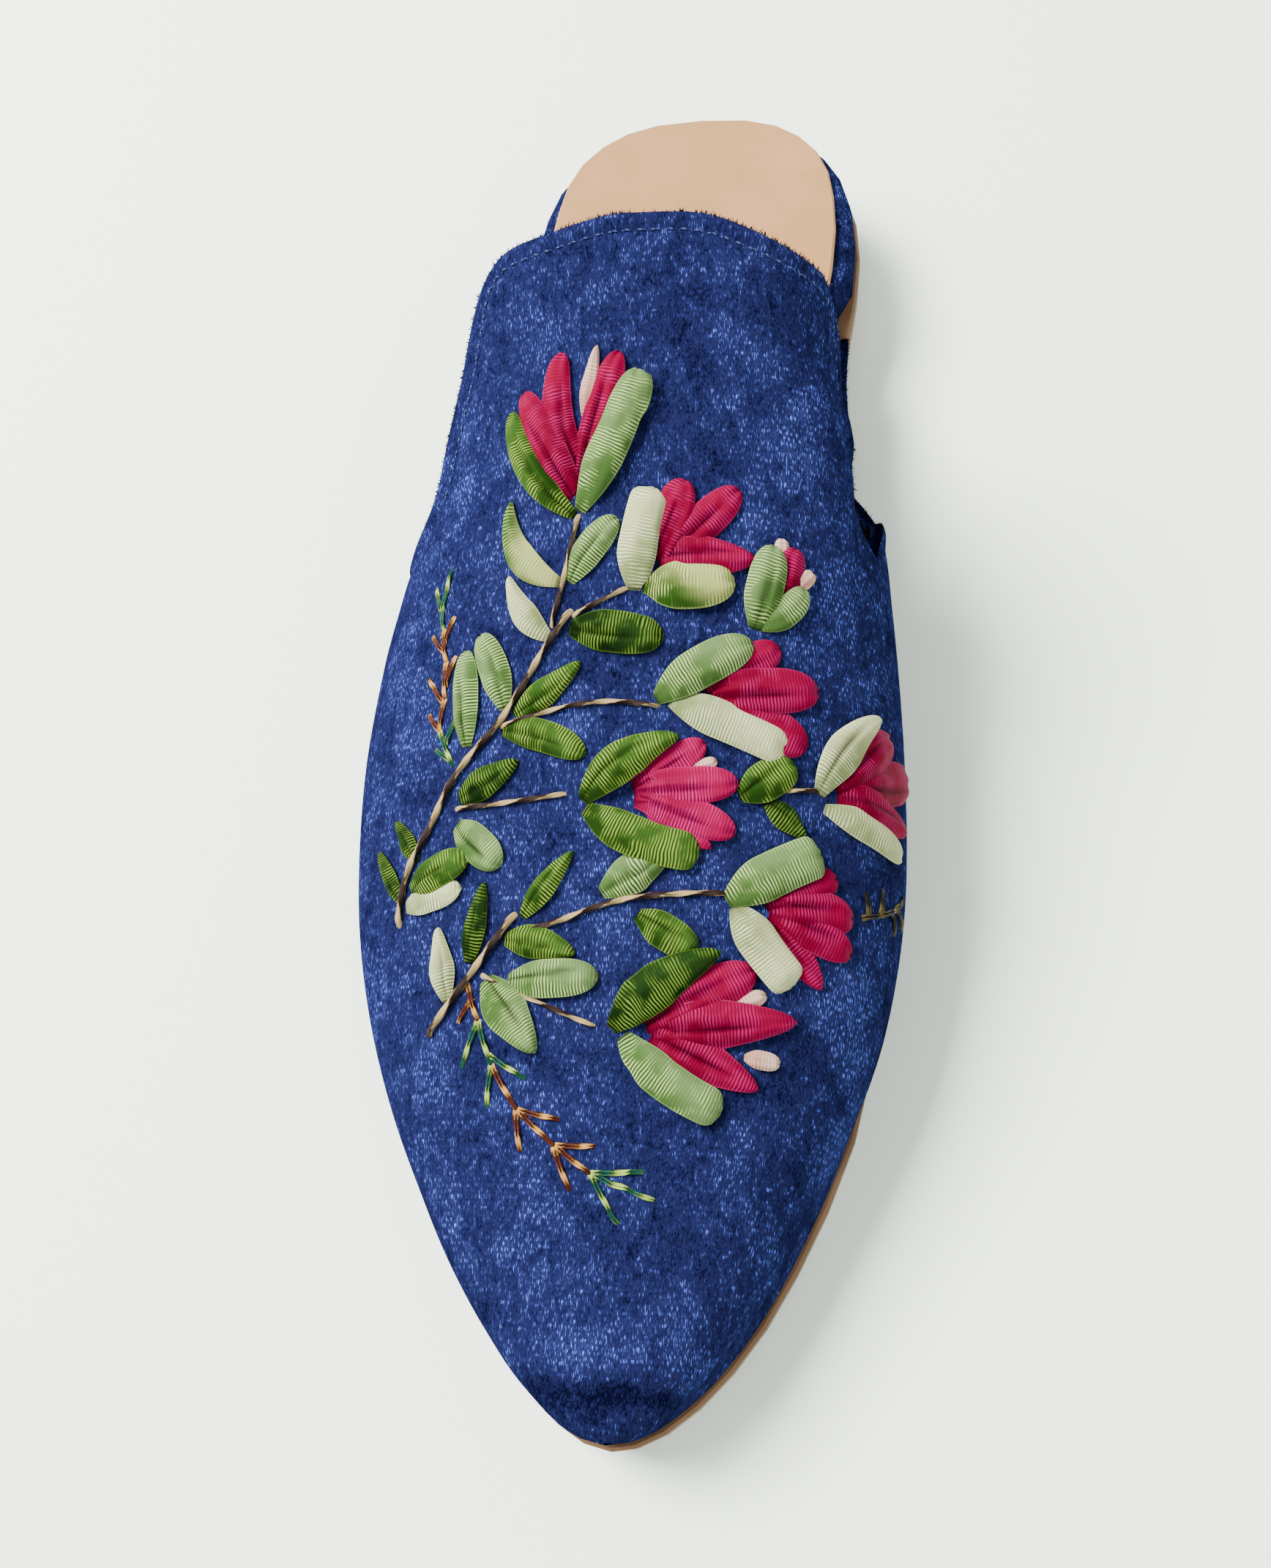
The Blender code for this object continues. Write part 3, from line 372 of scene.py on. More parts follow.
class Outline:
    """The outsole's edge with its outward direction, read by y on either side."""

    def __init__(self, points: Table, samples: int = 720) -> None:
        """Runs a smooth loop through the points and splits it at toe and heel.

        Args:
            points: Points of the edge, in order round it.
            samples: How many places the loop is read at.
        """
        loop = smooth_curve(points, samples, closed=True)
        loop = np.roll(loop, -int(np.argmin(loop[:, 1])), axis=0)
        ahead = unit(np.roll(loop, -1, axis=0) - np.roll(loop, 1, axis=0))
        rows = np.column_stack([loop, ahead[:, 1], -ahead[:, 0]])
        back = int(np.argmax(loop[:, 1]))
        outer = np.vstack([rows[:1], rows[:back:-1], rows[back]])
        self.tip_x = float(loop[0, 0])
        self.halves = {Side.INNER: rows[: back + 1], Side.OUTER: outer}

    def edge(self, side: Side, y: np.ndarray, inset: Numbers) -> tuple[np.ndarray, np.ndarray]:
        """One side's edge, moved inside.

        Args:
            side: The side to read.
            y: Places along the shoe.
            inset: How far inside the edge.

        Returns:
            x and y of each place.
        """
        rows = self.halves[side]
        numbers = np.arange(len(rows))
        place = np.interp(y, rows[:, 1], numbers)
        at_x, at_y, out_x, out_y = (np.interp(place, numbers, column) for column in rows.T)
        return at_x - out_x * inset, at_y - out_y * inset


@dataclass
class UpperForm:
    """The upper's surface as a function of lap and y, and of girth and y.

    Girth is the length over the surface from the ridge, negative on the outer side.
    """

    feather_inset: float = 1.0
    toe_round: float = 13.0
    tuck_start_lap: float = 0.5
    chain_samples: int = 49
    search_samples: int = 79
    search_lap: float = 1.3
    length_step: float = 0.02
    slope_lap: float = 0.01
    slope_y: float = 0.2
    edge: Outline = field(default_factory=lambda: Outline(OUTSOLE_EDGE))

    def __post_init__(self) -> None:
        """Makes the readers of the tables."""
        self.bulge = {Side.OUTER: read_table(BULGES, 1), Side.INNER: read_table(BULGES, 2)}
        readers = [read_table(UPPER_SECTIONS, column) for column in range(1, len(UPPER_SECTIONS[0]))]
        self.widest_rise, self.ridge_height, self.ridge_x, outer_square, inner_square = readers
        self.squareness = {Side.OUTER: outer_square, Side.INNER: inner_square}
        self.tuck_depth = read_table(TUCKS, 1)

    def tuck(self, side: Side, lap: np.ndarray, y: np.ndarray) -> np.ndarray:
        """How far a side is tucked in between the tongue's middle and the widest line."""
        share = np.clip((lap - self.tuck_start_lap) / (1 - self.tuck_start_lap), 0, 1)
        return (side == Side.INNER) * self.tuck_depth(y) * np.sin(np.pi * share) ** 2

    def half(self, side: Side, lap: np.ndarray, y: np.ndarray, depth: Numbers) -> np.ndarray:
        """Points of one side.

        Args:
            side: The side to read.
            lap: Laps from 0, the ridge, to 2, the feather line.
            y: Places along the shoe.
            depth: How far inside the surface.

        Returns:
            The points, in millimetres.
        """
        wide = np.stack(self.edge.edge(side, y, depth - self.bulge[side](y)), axis=-1)
        foot = np.stack(self.edge.edge(side, y, depth + self.feather_inset), axis=-1)
        nose = np.clip(1 - (y - TOE_Y) / self.toe_round, 0.0, 1.0)
        ridge_x = self.ridge_x(y) + (self.edge.tip_x - self.ridge_x(TOE_Y)) * nose
        ridge = np.stack([ridge_x, y + (depth - self.bulge[side](TOE_Y)) * nose], axis=-1)
        foot_z = outsole_top(y) + PIECE_GAP
        wide_z = foot_z + self.widest_rise(y)
        ridge_z = wide_z + (self.ridge_height(y) - depth - wide_z) * np.sqrt(1 - nose**2)
        power = 2 / self.squareness[side](y)
        angle = np.clip(lap, 0, 1) * np.pi / 2
        out, rise = np.sin(angle) ** power, np.cos(angle) ** power
        above = ridge + (wide - ridge) * out[..., None]
        above[..., 0] -= self.tuck(side, lap, y)
        above_z = wide_z + (ridge_z - wide_z) * rise
        drop = np.clip(lap - 1, 0, 1)
        below = foot + (wide - foot) * (1 - drop**2)[..., None]
        below_z = wide_z + (foot_z - wide_z) * drop
        low = lap > 1
        plan = np.where(low[..., None], below, above)
        return np.concatenate([plan, np.where(low, below_z, above_z)[..., None]], axis=-1)

    def at_lap(self, laps: np.ndarray, y: np.ndarray, depth: Numbers = 0.0) -> np.ndarray:
        """Points at laps of either side.

        Args:
            laps: Laps from -2 to 2.
            y: Places along the shoe.
            depth: How far inside the surface.

        Returns:
            The points, in millimetres.
        """
        laps, y = np.broadcast_arrays(np.asarray(laps, float), np.asarray(y, float))
        outer = self.half(Side.OUTER, np.abs(laps), y, depth)
        inner = self.half(Side.INNER, np.abs(laps), y, depth)
        return np.where((laps < 0)[..., None], outer, inner)

    def lap_length(self, laps: np.ndarray, y: np.ndarray) -> np.ndarray:
        """Length over the surface of one lap, at laps and places y."""
        ends = self.at_lap(laps + self.length_step, y) - self.at_lap(laps - self.length_step, y)
        return np.linalg.norm(ends, axis=-1) / (2 * self.length_step)

    def girths(self, laps: np.ndarray, y: np.ndarray) -> np.ndarray:
        """Girths of places given by lap.

        Args:
            laps: Laps from -2 to 2.
            y: Places along the shoe.

        Returns:
            The length over the surface from the ridge to each place.
        """
        shares = np.linspace(0, 1, self.chain_samples)
        chain = self.at_lap(laps[..., None] * shares, y[..., None])
        steps = np.linalg.norm(np.diff(chain, axis=-2), axis=-1)
        return np.sign(laps) * steps.sum(axis=-1)

    def laps(self, girth: np.ndarray, y: np.ndarray) -> np.ndarray:
        """Laps of places given by girth.

        Args:
            girth: Lengths over the surface from the ridge.
            y: Places along the shoe.

        Returns:
            One lap for each place.
        """
        laps = np.linspace(0, self.search_lap, self.search_samples)
        found = np.zeros(len(girth))
        for side in Side:
            chosen = (girth * side) >= 0
            chain = self.at_lap(side * laps[None], y[chosen, None])
            steps = np.linalg.norm(np.diff(chain, axis=1), axis=2)
            length = np.concatenate([np.zeros((chosen.sum(), 1)), np.cumsum(steps, axis=1)], axis=1)
            wanted = np.abs(girth[chosen])
            found[chosen] = side * np.array([np.interp(w, row, laps) for w, row in zip(wanted, length)])
        return found

    def normal(self, laps: np.ndarray, y: np.ndarray) -> np.ndarray:
        """The way out of the surface.

        Args:
            laps: Laps from -2 to 2.
            y: Places along the shoe.

        Returns:
            One row of length 1 for each place.
        """
        across = self.at_lap(laps + self.slope_lap, y) - self.at_lap(laps - self.slope_lap, y)
        along = self.at_lap(laps, y + self.slope_y) - self.at_lap(laps, y - self.slope_y)
        return unit(np.cross(across, along))

    def at_girth(self, girth: np.ndarray, y: np.ndarray, height: Numbers = 0.0) -> np.ndarray:
        """Points over the creased velvet.

        Args:
            girth: Lengths over the surface from the ridge.
            y: Places along the shoe.
            height: How far each point stands off the velvet.

        Returns:
            The points, in millimetres.
        """
        girth, y = np.broadcast_arrays(np.asarray(girth, float), np.asarray(y, float))
        shape = girth.shape
        girth, y = girth.ravel(), y.ravel()
        laps = self.laps(girth, y)
        height = np.broadcast_to(np.asarray(height, float), shape).ravel() + soft_marks(CREASES, girth, y)
        return (self.at_lap(laps, y) + self.normal(laps, y) * height[:, None]).reshape(*shape, 3)


FORM = UpperForm()


def inside_of(loop: np.ndarray, points: np.ndarray) -> np.ndarray:
    """Which points lie inside a closed loop, counting the loop's crossings of a ray.

    Args:
        loop: The loop's points in order.
        points: The points to test.

    Returns:
        True for each point inside.
    """
    found = np.zeros(len(points), bool)
    for (x1, y1), (x2, y2) in zip(loop, np.roll(loop, -1, axis=0)):
        if y1 != y2:
            crosses = (y1 > points[:, 1]) != (y2 > points[:, 1])
            found ^= crosses & (points[:, 0] < x1 + (points[:, 1] - y1) * (x2 - x1) / (y2 - y1))
    return found


def make_object(
    name: str,
    points: np.ndarray,
    faces: Sequence[Sequence[int]],
    materials: Sequence[bpy.types.Material],
    slots: np.ndarray | None = None,
    uv_maps: Maps | None = None,
    smooth: bool = True,
) -> bpy.types.Object:
    """A mesh object from points in millimetres, reported when it is made.

    Args:
        name: The object's name.
        points: One row for each point.
        faces: Point numbers of each face.
        materials: The object's materials in slot order.
        slots: Slot of each face, or None for the first.
        uv_maps: For each map's name, two numbers for each point.
        smooth: Whether faces are shaded smooth.

    Returns:
        The linked object, riding on the shoe's body.
    """
    mesh = bpy.data.meshes.new(name)
    mesh.from_pydata((np.asarray(points) * MM).tolist(), [], [tuple(face) for face in faces])
    for material in materials:
        mesh.materials.append(material)
    if slots is not None:
        mesh.polygons.foreach_set("material_index", np.asarray(slots, np.int32))
    corners = np.empty(len(mesh.loops), np.int32)
    mesh.loops.foreach_get("vertex_index", corners)
    for map_name, values in (uv_maps or {}).items():
        layer = mesh.uv_layers.new(name=map_name)
        layer.data.foreach_set("uv", np.asarray(values, np.float32)[corners].ravel())
    mesh.polygons.foreach_set("use_smooth", np.full(len(mesh.polygons), smooth))
    mesh.update()
    obj = bpy.data.objects.new(name, mesh)
    bpy.context.scene.collection.objects.link(obj)
    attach(obj, ROOT)
    LOG.info("%s: %d faces", name, len(mesh.polygons))
    return obj


FLOAT, VECTOR, COLOUR = "NodeSocketFloat", "NodeSocketVector", "NodeSocketColor"
NODE_SPACING = 180
# Socket numbers of the Mix node's colour mode, in which several sockets have the same name.
MIX_SHARE, MIX_FIRST, MIX_SECOND, MIX_RESULT = 0, 6, 7, 2


@dataclass(frozen=True)
class Texture:
    """A noise texture, stretched along each axis where stretch is given."""

    scale: float = 1.0
    detail: float = 2.0
    distortion: float = 0.0
    stretch: Scale | None = None


class Nodes:
    """Builds one node tree with short calls."""

    def __init__(self, tree: bpy.types.NodeTree) -> None:
        """Starts on an empty tree."""
        self.tree = tree
        self.column = 0

    def add(self, kind: str, **settings: object) -> bpy.types.Node:
        """Adds a node beside the last one.

        Args:
            kind: The node's type.
            settings: Values of its properties.

        Returns:
            The node.
        """
        node = self.tree.nodes.new(kind)
        self.column += 1
        node.location = (self.column * NODE_SPACING, 0)
        for key, value in settings.items():
            setattr(node, key, value)
        return node

    def put(self, socket: bpy.types.NodeSocket, value: object) -> None:
        """Links value if it is a socket, else sets it.

        Args:
            socket: The input to feed.
            value: A socket, number, colour or vector.
        """
        if isinstance(value, bpy.types.NodeSocket):
            self.tree.links.new(value, socket)
        else:
            socket.default_value = value

    def feed(self, node: bpy.types.Node, **inputs: object) -> bpy.types.Node:
        """Feeds named inputs.

        Args:
            node: The node to feed.
            inputs: A value for each input; a name's underscores stand for spaces.

        Returns:
            The node.
        """
        for key, value in inputs.items():
            self.put(node.inputs[key.replace("_", " ")], value)
        return node

    def math(self, operation: str, *values: object) -> bpy.types.NodeSocket:
        """Adds a Math node.

        Args:
            operation: The node's operation.
            values: What it works on.

        Returns:
            Its result.
        """
        node = self.add("ShaderNodeMath", operation=operation)
        for socket, value in zip(node.inputs, values):
            self.put(socket, value)
        return node.outputs[0]

    def plus(self, first: object, second: object) -> bpy.types.NodeSocket:
        """The sum."""
        return self.math("ADD", first, second)

    def times(self, first: object, second: object) -> bpy.types.NodeSocket:
        """The product."""
        return self.math("MULTIPLY", first, second)

    def swing(self, value: object, amount: object) -> bpy.types.NodeSocket:
        """A value about 0.5, turned into one about 0 and scaled by amount."""
        return self.times(self.math("SUBTRACT", value, 0.5), amount)

    def spread(
        self, value: object, span: Span, to_low: float = 0.0, to_high: float = 1.0
    ) -> bpy.types.NodeSocket:
        """Maps a value with soft ends.

        Args:
            value: The value to map.
            span: Where its change begins and ends.
            to_low: The result at the span's beginning.
            to_high: The result at its end.

        Returns:
            The result.
        """
        node = self.add("ShaderNodeMapRange", interpolation_type="SMOOTHSTEP")
        for socket, number in zip(node.inputs, (value, *span, to_low, to_high)):
            self.put(socket, number)
        return node.outputs[0]

    def mix(self, share: object, first: object, second: object) -> bpy.types.NodeSocket:
        """Mixes two colours.

        Args:
            share: The second colour's share.
            first: The first colour.
            second: The second colour.

        Returns:
            The mix.
        """
        node = self.add("ShaderNodeMix", data_type="RGBA")
        self.put(node.inputs[MIX_SHARE], share)
        self.put(node.inputs[MIX_FIRST], first)
        self.put(node.inputs[MIX_SECOND], second)
        return node.outputs[MIX_RESULT]

    def stretched(self, vector: object, scale: Scale) -> bpy.types.NodeSocket:
        """Vector times scale along each axis."""
        return self.feed(self.add("ShaderNodeMapping"), Vector=vector, Scale=scale).outputs[0]

    def split(self, vector: object) -> Sequence[bpy.types.NodeSocket]:
        """The vector's x, y and z."""
        return self.feed(self.add("ShaderNodeSeparateXYZ"), Vector=vector).outputs

    def noise(self, vector: object, texture: Texture) -> bpy.types.NodeSocket:
        """Adds a noise texture.

        Args:
            vector: Where it is read.
            texture: Its measures.

        Returns:
            Its value.
        """
        if texture.stretch:
            vector = self.stretched(vector, texture.stretch)
        node = self.feed(self.add("ShaderNodeTexNoise"), Vector=vector, Scale=texture.scale)
        return self.feed(node, Detail=texture.detail, Distortion=texture.distortion).outputs[0]


def rgba(colour: Colour) -> tuple[float, float, float, float]:
    """The colour with full alpha."""
    return (*colour, 1.0)


BLACK = rgba((0.0, 0.0, 0.0))


class Group:
    """A shader group under construction, with named sockets."""

    def __init__(self, name: str, inputs: Sockets, outputs: Sockets) -> None:
        """Makes the tree and its sockets.

        Args:
            name: The group's name.
            inputs: Name and socket type of each input.
            outputs: Name and socket type of each output.
        """
        self.tree = bpy.data.node_groups.new(name, "ShaderNodeTree")
        for label, kind in inputs:
            self.tree.interface.new_socket(name=label, in_out="INPUT", socket_type=kind)
        for label, kind in outputs:
            self.tree.interface.new_socket(name=label, in_out="OUTPUT", socket_type=kind)
        self.nodes = Nodes(self.tree)
        self.given = self.nodes.add("NodeGroupInput").outputs
        self.out = self.nodes.add("NodeGroupOutput").inputs

    def finish(self, **values: object) -> bpy.types.NodeTree:
        """Feeds the group's outputs.

        Args:
            values: What each output gives.

        Returns:
            The group's tree.
        """
        for label, value in values.items():
            self.nodes.put(self.out[label], value)
        return self.tree


@dataclass(frozen=True)
class Pile:
    """Short pile: patches and crushed streaks of tone, painted glints of single fibres, and painted sheen
    and shade given as an input.
    """

    patches: Texture = Texture(0.10, 3.0, 0.6)
    streaks: Texture = Texture(1.0, 3.0, 1.0, (0.50, 0.30, 0.30))
    clusters: Texture = Texture(1.0, 2.0, 0.4, (1.7, 0.9, 0.9))
    fibres: Texture = Texture(1.0, 0.0, 0.0, (6.0, 1.2, 4.0))
    grain: Texture = Texture(1.0, 1.0, 0.0, (4.0, 2.4, 2.4))
    patch_share: float = 0.34
    streak_share: float = 0.36
    cluster_share: float = 0.30
    grain_share: float = 0.36
    dark_to_mid: Span = (0.33, 0.50)
    mid_to_light: Span = (0.49, 0.70)
    glinting: Span = (0.60, 0.71)
    glint_mask_span: Span = (0.47, 0.62)
    least_glint: float = 0.06
    streak_relief: float = 1.5

    def group(self) -> bpy.types.NodeTree:
        """The shader group."""
        tones = ("Dark", "Mid", "Light", "Glint")
        group = Group(
            "pile",
            [("Vector", VECTOR), ("Nap", FLOAT), *((tone, COLOUR) for tone in tones)],
            [("Colour", COLOUR), ("Height", FLOAT)],
        )
        nodes, vector = group.nodes, group.given["Vector"]
        dark, mid, light, glint = (group.given[tone] for tone in tones)
        streaks = nodes.noise(vector, self.streaks)
        fibres = nodes.noise(vector, self.fibres)
        crushed = nodes.plus(
            nodes.times(nodes.noise(vector, self.patches), self.patch_share),
            nodes.times(streaks, self.streak_share),
        )
        crushed = nodes.plus(crushed, nodes.times(nodes.noise(vector, self.clusters), self.cluster_share))
        # Painted sheen and shade: the input lightens or darkens the tone and sets where glints show.
        crushed_and_sheen = nodes.plus(crushed, group.given["Nap"])
        tone = nodes.plus(crushed_and_sheen, nodes.swing(nodes.noise(vector, self.grain), self.grain_share))
        base = nodes.mix(nodes.spread(tone, self.dark_to_mid), dark, mid)
        raised = nodes.mix(nodes.spread(tone, self.mid_to_light), base, light)
        # Painted highlight: single glinting fibres, shown where the painted sheen is strong.
        glint_mask = nodes.spread(crushed_and_sheen, self.glint_mask_span, self.least_glint)
        painted_glints = nodes.times(nodes.spread(fibres, self.glinting), glint_mask)
        height = nodes.plus(fibres, nodes.times(streaks, self.streak_relief))
        return group.finish(Colour=nodes.mix(painted_glints, raised, glint), Height=height)


@dataclass(frozen=True)
class Ribs:
    """Woven cross ribs with clouded dye from one colour to the other, painted rib glints, painted furrow and
    fold shade, and a pale selvedge.
    """

    pitch: float = 0.5
    wander: Texture = Texture(0.4, 1.0)
    wander_length: float = 0.6
    clouds: Texture = Texture(1.0, 1.0, 0.3, (0.34, 0.14, 1.0))
    cloud_share: float = 0.4
    dyed: Span = (0.15, 0.85)
    # Painted highlight: the glinting ribs come in these patches.
    patches: Texture = Texture(0.24)
    glint_patch_edge: Span = (0.40, 0.60)
    furrow: Span = (0.0, 0.6)
    furrow_shade: float = 0.55
    least_shade: float = 0.07
    glint_crest: Span = (0.28, 0.88)
    selvedge: Span = (0.455, 0.49)

    def group(self) -> bpy.types.NodeTree:
        """The shader group."""
        measures = ("Rib Share", "Slant", "Selvedge", "Fold")
        group = Group(
            "ribs",
            [
                *((label, VECTOR) for label in ("Cloth", "Share")),
                *((label, COLOUR) for label in ("Base", "Tip", "Rib")),
                *((label, FLOAT) for label in measures),
            ],
            [("Colour", COLOUR), ("Height", FLOAT)],
        )
        nodes, given, cloth = group.nodes, group.given, group.given["Cloth"]
        glint_share, slant, selvedge, fold = (given[label] for label in measures)
        wander = nodes.times(nodes.noise(cloth, self.wander), self.wander_length)
        along = nodes.plus(nodes.split(cloth)[1], wander)
        wave = nodes.math("SINE", nodes.times(along, 2 * math.pi / self.pitch))
        rib = nodes.plus(nodes.times(wave, 0.5), 0.5)
        across, share, _ = nodes.split(given["Share"])
        clouded = nodes.swing(nodes.noise(cloth, self.clouds), self.cloud_share)
        dyed = nodes.plus(share, nodes.plus(nodes.swing(across, slant), clouded))
        ground = nodes.mix(nodes.spread(dyed, self.dyed), given["Base"], given["Tip"])
        # Painted highlight: glints on the rib crests, in patches.
        glint_patch = nodes.spread(nodes.noise(cloth, self.patches), self.glint_patch_edge)
        glint_amount = nodes.times(glint_patch, glint_share)
        # Painted shade in the furrows between ribs, deeper where the glints are bright.
        shade = nodes.plus(nodes.times(nodes.times(glint_amount, glint_amount), self.furrow_shade), self.least_shade)
        furrow = nodes.spread(rib, self.furrow, 1.0, 0.0)
        woven = nodes.mix(nodes.times(furrow, shade), ground, BLACK)
        ribbed = nodes.mix(nodes.times(nodes.spread(rib, self.glint_crest), glint_amount), woven, given["Rib"])
        aside = nodes.math("ABSOLUTE", nodes.math("SUBTRACT", across, 0.5))
        bordered = nodes.mix(nodes.times(nodes.spread(aside, self.selvedge), selvedge), ribbed, given["Rib"])
        # Painted shade of the folds and the root darkens the colour towards black.
        return group.finish(Colour=nodes.mix(fold, bordered, BLACK), Height=rib)


@dataclass(frozen=True)
class Grain:
    """Fine leather grain with faint cloudy wear."""

    clouds: Texture = Texture(60.0, 3.0)
    worn: Span = (0.42, 0.70)
    clouded: Span = (0.3, 0.7)
    smoothest: float = 0.46
    roughest: float = 0.62

    def group(self) -> bpy.types.NodeTree:
        """The shader group."""
        group = Group(
            "grain",
            [("Vector", VECTOR), ("Colour", COLOUR), ("Worn", COLOUR), ("Grain Scale", FLOAT)],
            [("Colour", COLOUR), ("Roughness", FLOAT), ("Height", FLOAT)],
        )
        nodes, given = group.nodes, group.given
        cells = nodes.add("ShaderNodeTexVoronoi")
        nodes.feed(cells, Vector=given["Vector"], Scale=given["Grain Scale"])
        clouds = nodes.noise(given["Vector"], self.clouds)
        return group.finish(
            Colour=nodes.mix(nodes.spread(clouds, self.worn), given["Colour"], given["Worn"]),
            Roughness=nodes.spread(clouds, self.clouded, self.smoothest, self.roughest),
            Height=cells.outputs["Distance"],
        )


@dataclass(frozen=True)
class Twist:
    """Two plies of thread in two colours, wound round each other."""

    strands: Texture = Texture(1.0, 2.0, 0.0, (11.0, 0.35, 1.0))
    fraying: float = 2.6
    ply_edge: Span = (-0.3, 0.3)

    def group(self) -> bpy.types.NodeTree:
        """The shader group."""
        group = Group(
            "twist",
            [("Vector", VECTOR), ("First", COLOUR), ("Second", COLOUR), ("Pitch", FLOAT), ("Cover", FLOAT)],
            [("Colour", COLOUR), ("Height", FLOAT)],
        )
        nodes, given = group.nodes, group.given
        around, along, _ = nodes.split(given["Vector"])
        turns = nodes.plus(nodes.math("DIVIDE", along, given["Pitch"]), around)
        wave = nodes.math("SINE", nodes.times(turns, 2 * math.pi))
        strands = nodes.noise(given["Vector"], self.strands)
        frayed = nodes.plus(wave, nodes.swing(strands, self.fraying))
        cover = nodes.plus(frayed, nodes.math("SUBTRACT", nodes.times(given["Cover"], 2.0), 1.0))
        return group.finish(
            Colour=nodes.mix(nodes.spread(cover, self.ply_edge), given["First"], given["Second"]),
            Height=nodes.plus(nodes.math("ABSOLUTE", wave), strands),
        )


class Groups:
    """The shader groups, each made once."""

    def __init__(self) -> None:
        """Makes every group."""
        self.pile = Pile().group()
        self.ribs = Ribs().group()
        self.grain = Grain().group()
        self.twist = Twist().group()


@dataclass
class Shader:
    """A material's tree under construction."""

    name: str
    roughness: float
    specular: float
    bump_strength: float = 0.0
    bump_depth: float = 0.0003

    def __post_init__(self) -> None:
        """Makes the material and finds its shader."""
        self.material = bpy.data.materials.new(self.name)
        self.material.use_nodes = True
        self.nodes = Nodes(self.material.node_tree)
        self.surface = self.material.node_tree.nodes["Principled BSDF"]
        self.set(Roughness=self.roughness, Specular_IOR_Level=self.specular)

    def uv(self, map_name: str, scale: float = 1.0) -> bpy.types.NodeSocket:
        """The UV map's coordinates times scale."""
        source = self.nodes.add("ShaderNodeUVMap", uv_map=map_name)
        return self.nodes.stretched(source.outputs[0], (scale, scale, 1.0))

    def place(self) -> bpy.types.NodeSocket:
        """Coordinates of the object, in metres."""
        return self.nodes.add("ShaderNodeTexCoord").outputs["Object"]

    def use(self, tree: bpy.types.NodeTree, **inputs: object) -> Sequence[bpy.types.NodeSocket]:
        """The outputs of a group node with its inputs fed."""
        return self.nodes.feed(self.nodes.add("ShaderNodeGroup", node_tree=tree), **inputs).outputs

    def set(self, **values: object) -> None:
        """Sets sockets of the surface; a name's underscores stand for spaces."""
        self.nodes.feed(self.surface, **values)

    def finish(self, colour: bpy.types.NodeSocket, height: bpy.types.NodeSocket) -> bpy.types.Material:
        """Feeds colour and relief, and gives the material back.

        Args:
            colour: The base colour.
            height: The height of the bump.

        Returns:
            The material.
        """
        bump = self.nodes.add("ShaderNodeBump")
        self.nodes.feed(bump, Strength=self.bump_strength, Distance=self.bump_depth, Height=height)
        self.set(Base_Color=colour, Normal=bump.outputs[0])
        return self.material


@dataclass(frozen=True)
class VelvetFinish:
    """Crushed velvet with painted glints of its fibres and painted sheen and shade."""

    name: str = "velvet"
    dark: Colour = (0.0017, 0.0017, 0.0105)
    mid: Colour = (0.0074, 0.0086, 0.0390)
    light: Colour = (0.0150, 0.0195, 0.0760)
    # Painted highlight: the colour of the glinting fibres.
    glint: Colour = (0.0700, 0.1120, 0.4900)
    roughness: float = 0.62
    specular: float = 0.0
    bump: float = 0.5

    def make(self, groups: Groups, from_uv: bool = True) -> bpy.types.Material:
        """Makes the material.

        Args:
            groups: The shader groups.
            from_uv: Whether the pattern and the painted sheen come from UV maps, or the pattern from the
                place alone.

        Returns:
            The material.
        """
        shader = Shader(self.name, self.roughness, self.specular, self.bump)
        nap = 0.0
        if from_uv:
            vector = shader.uv("pattern", UV_SCALE)
            nap = shader.nodes.split(shader.uv("nap"))[0]
        else:
            vector = shader.nodes.stretched(shader.place(), (1 / MM, 1 / MM, 1 / MM))
        pile = shader.use(
            groups.pile,
            Vector=vector,
            Nap=nap,
            Dark=rgba(self.dark),
            Mid=rgba(self.mid),
            Light=rgba(self.light),
            Glint=rgba(self.glint),
        )
        return shader.finish(pile["Colour"], pile["Height"])


@dataclass(frozen=True)
class LiningFinish:
    """Dark ribbed lining inside the upper, with painted glints on its rib crests and painted shade in the
    furrows.
    """

    name: str = "lining"
    dark: Colour = (0.0012, 0.0018, 0.0060)
    # Painted highlight: the colour of the glints on the rib crests.
    light: Colour = (0.0045, 0.0065, 0.018)
    glint_share: float = 0.9
    roughness: float = 0.75
    specular: float = 0.08
    bump: float = 0.6

    def make(self, groups: Groups) -> bpy.types.Material:
        """Makes the material.

        Args:
            groups: The shader groups.

        Returns:
            The material.
        """
        shader = Shader(self.name, self.roughness, self.specular, self.bump)
        ribs = shader.use(
            groups.ribs,
            Cloth=shader.uv("pattern", UV_SCALE),
            Share=(0.5, 0.0, 0.0),
            Base=rgba(self.dark),
            Tip=rgba(self.dark),
            Rib=rgba(self.light),
            Rib_Share=self.glint_share,
        )
        return shader.finish(ribs["Colour"], ribs["Height"])


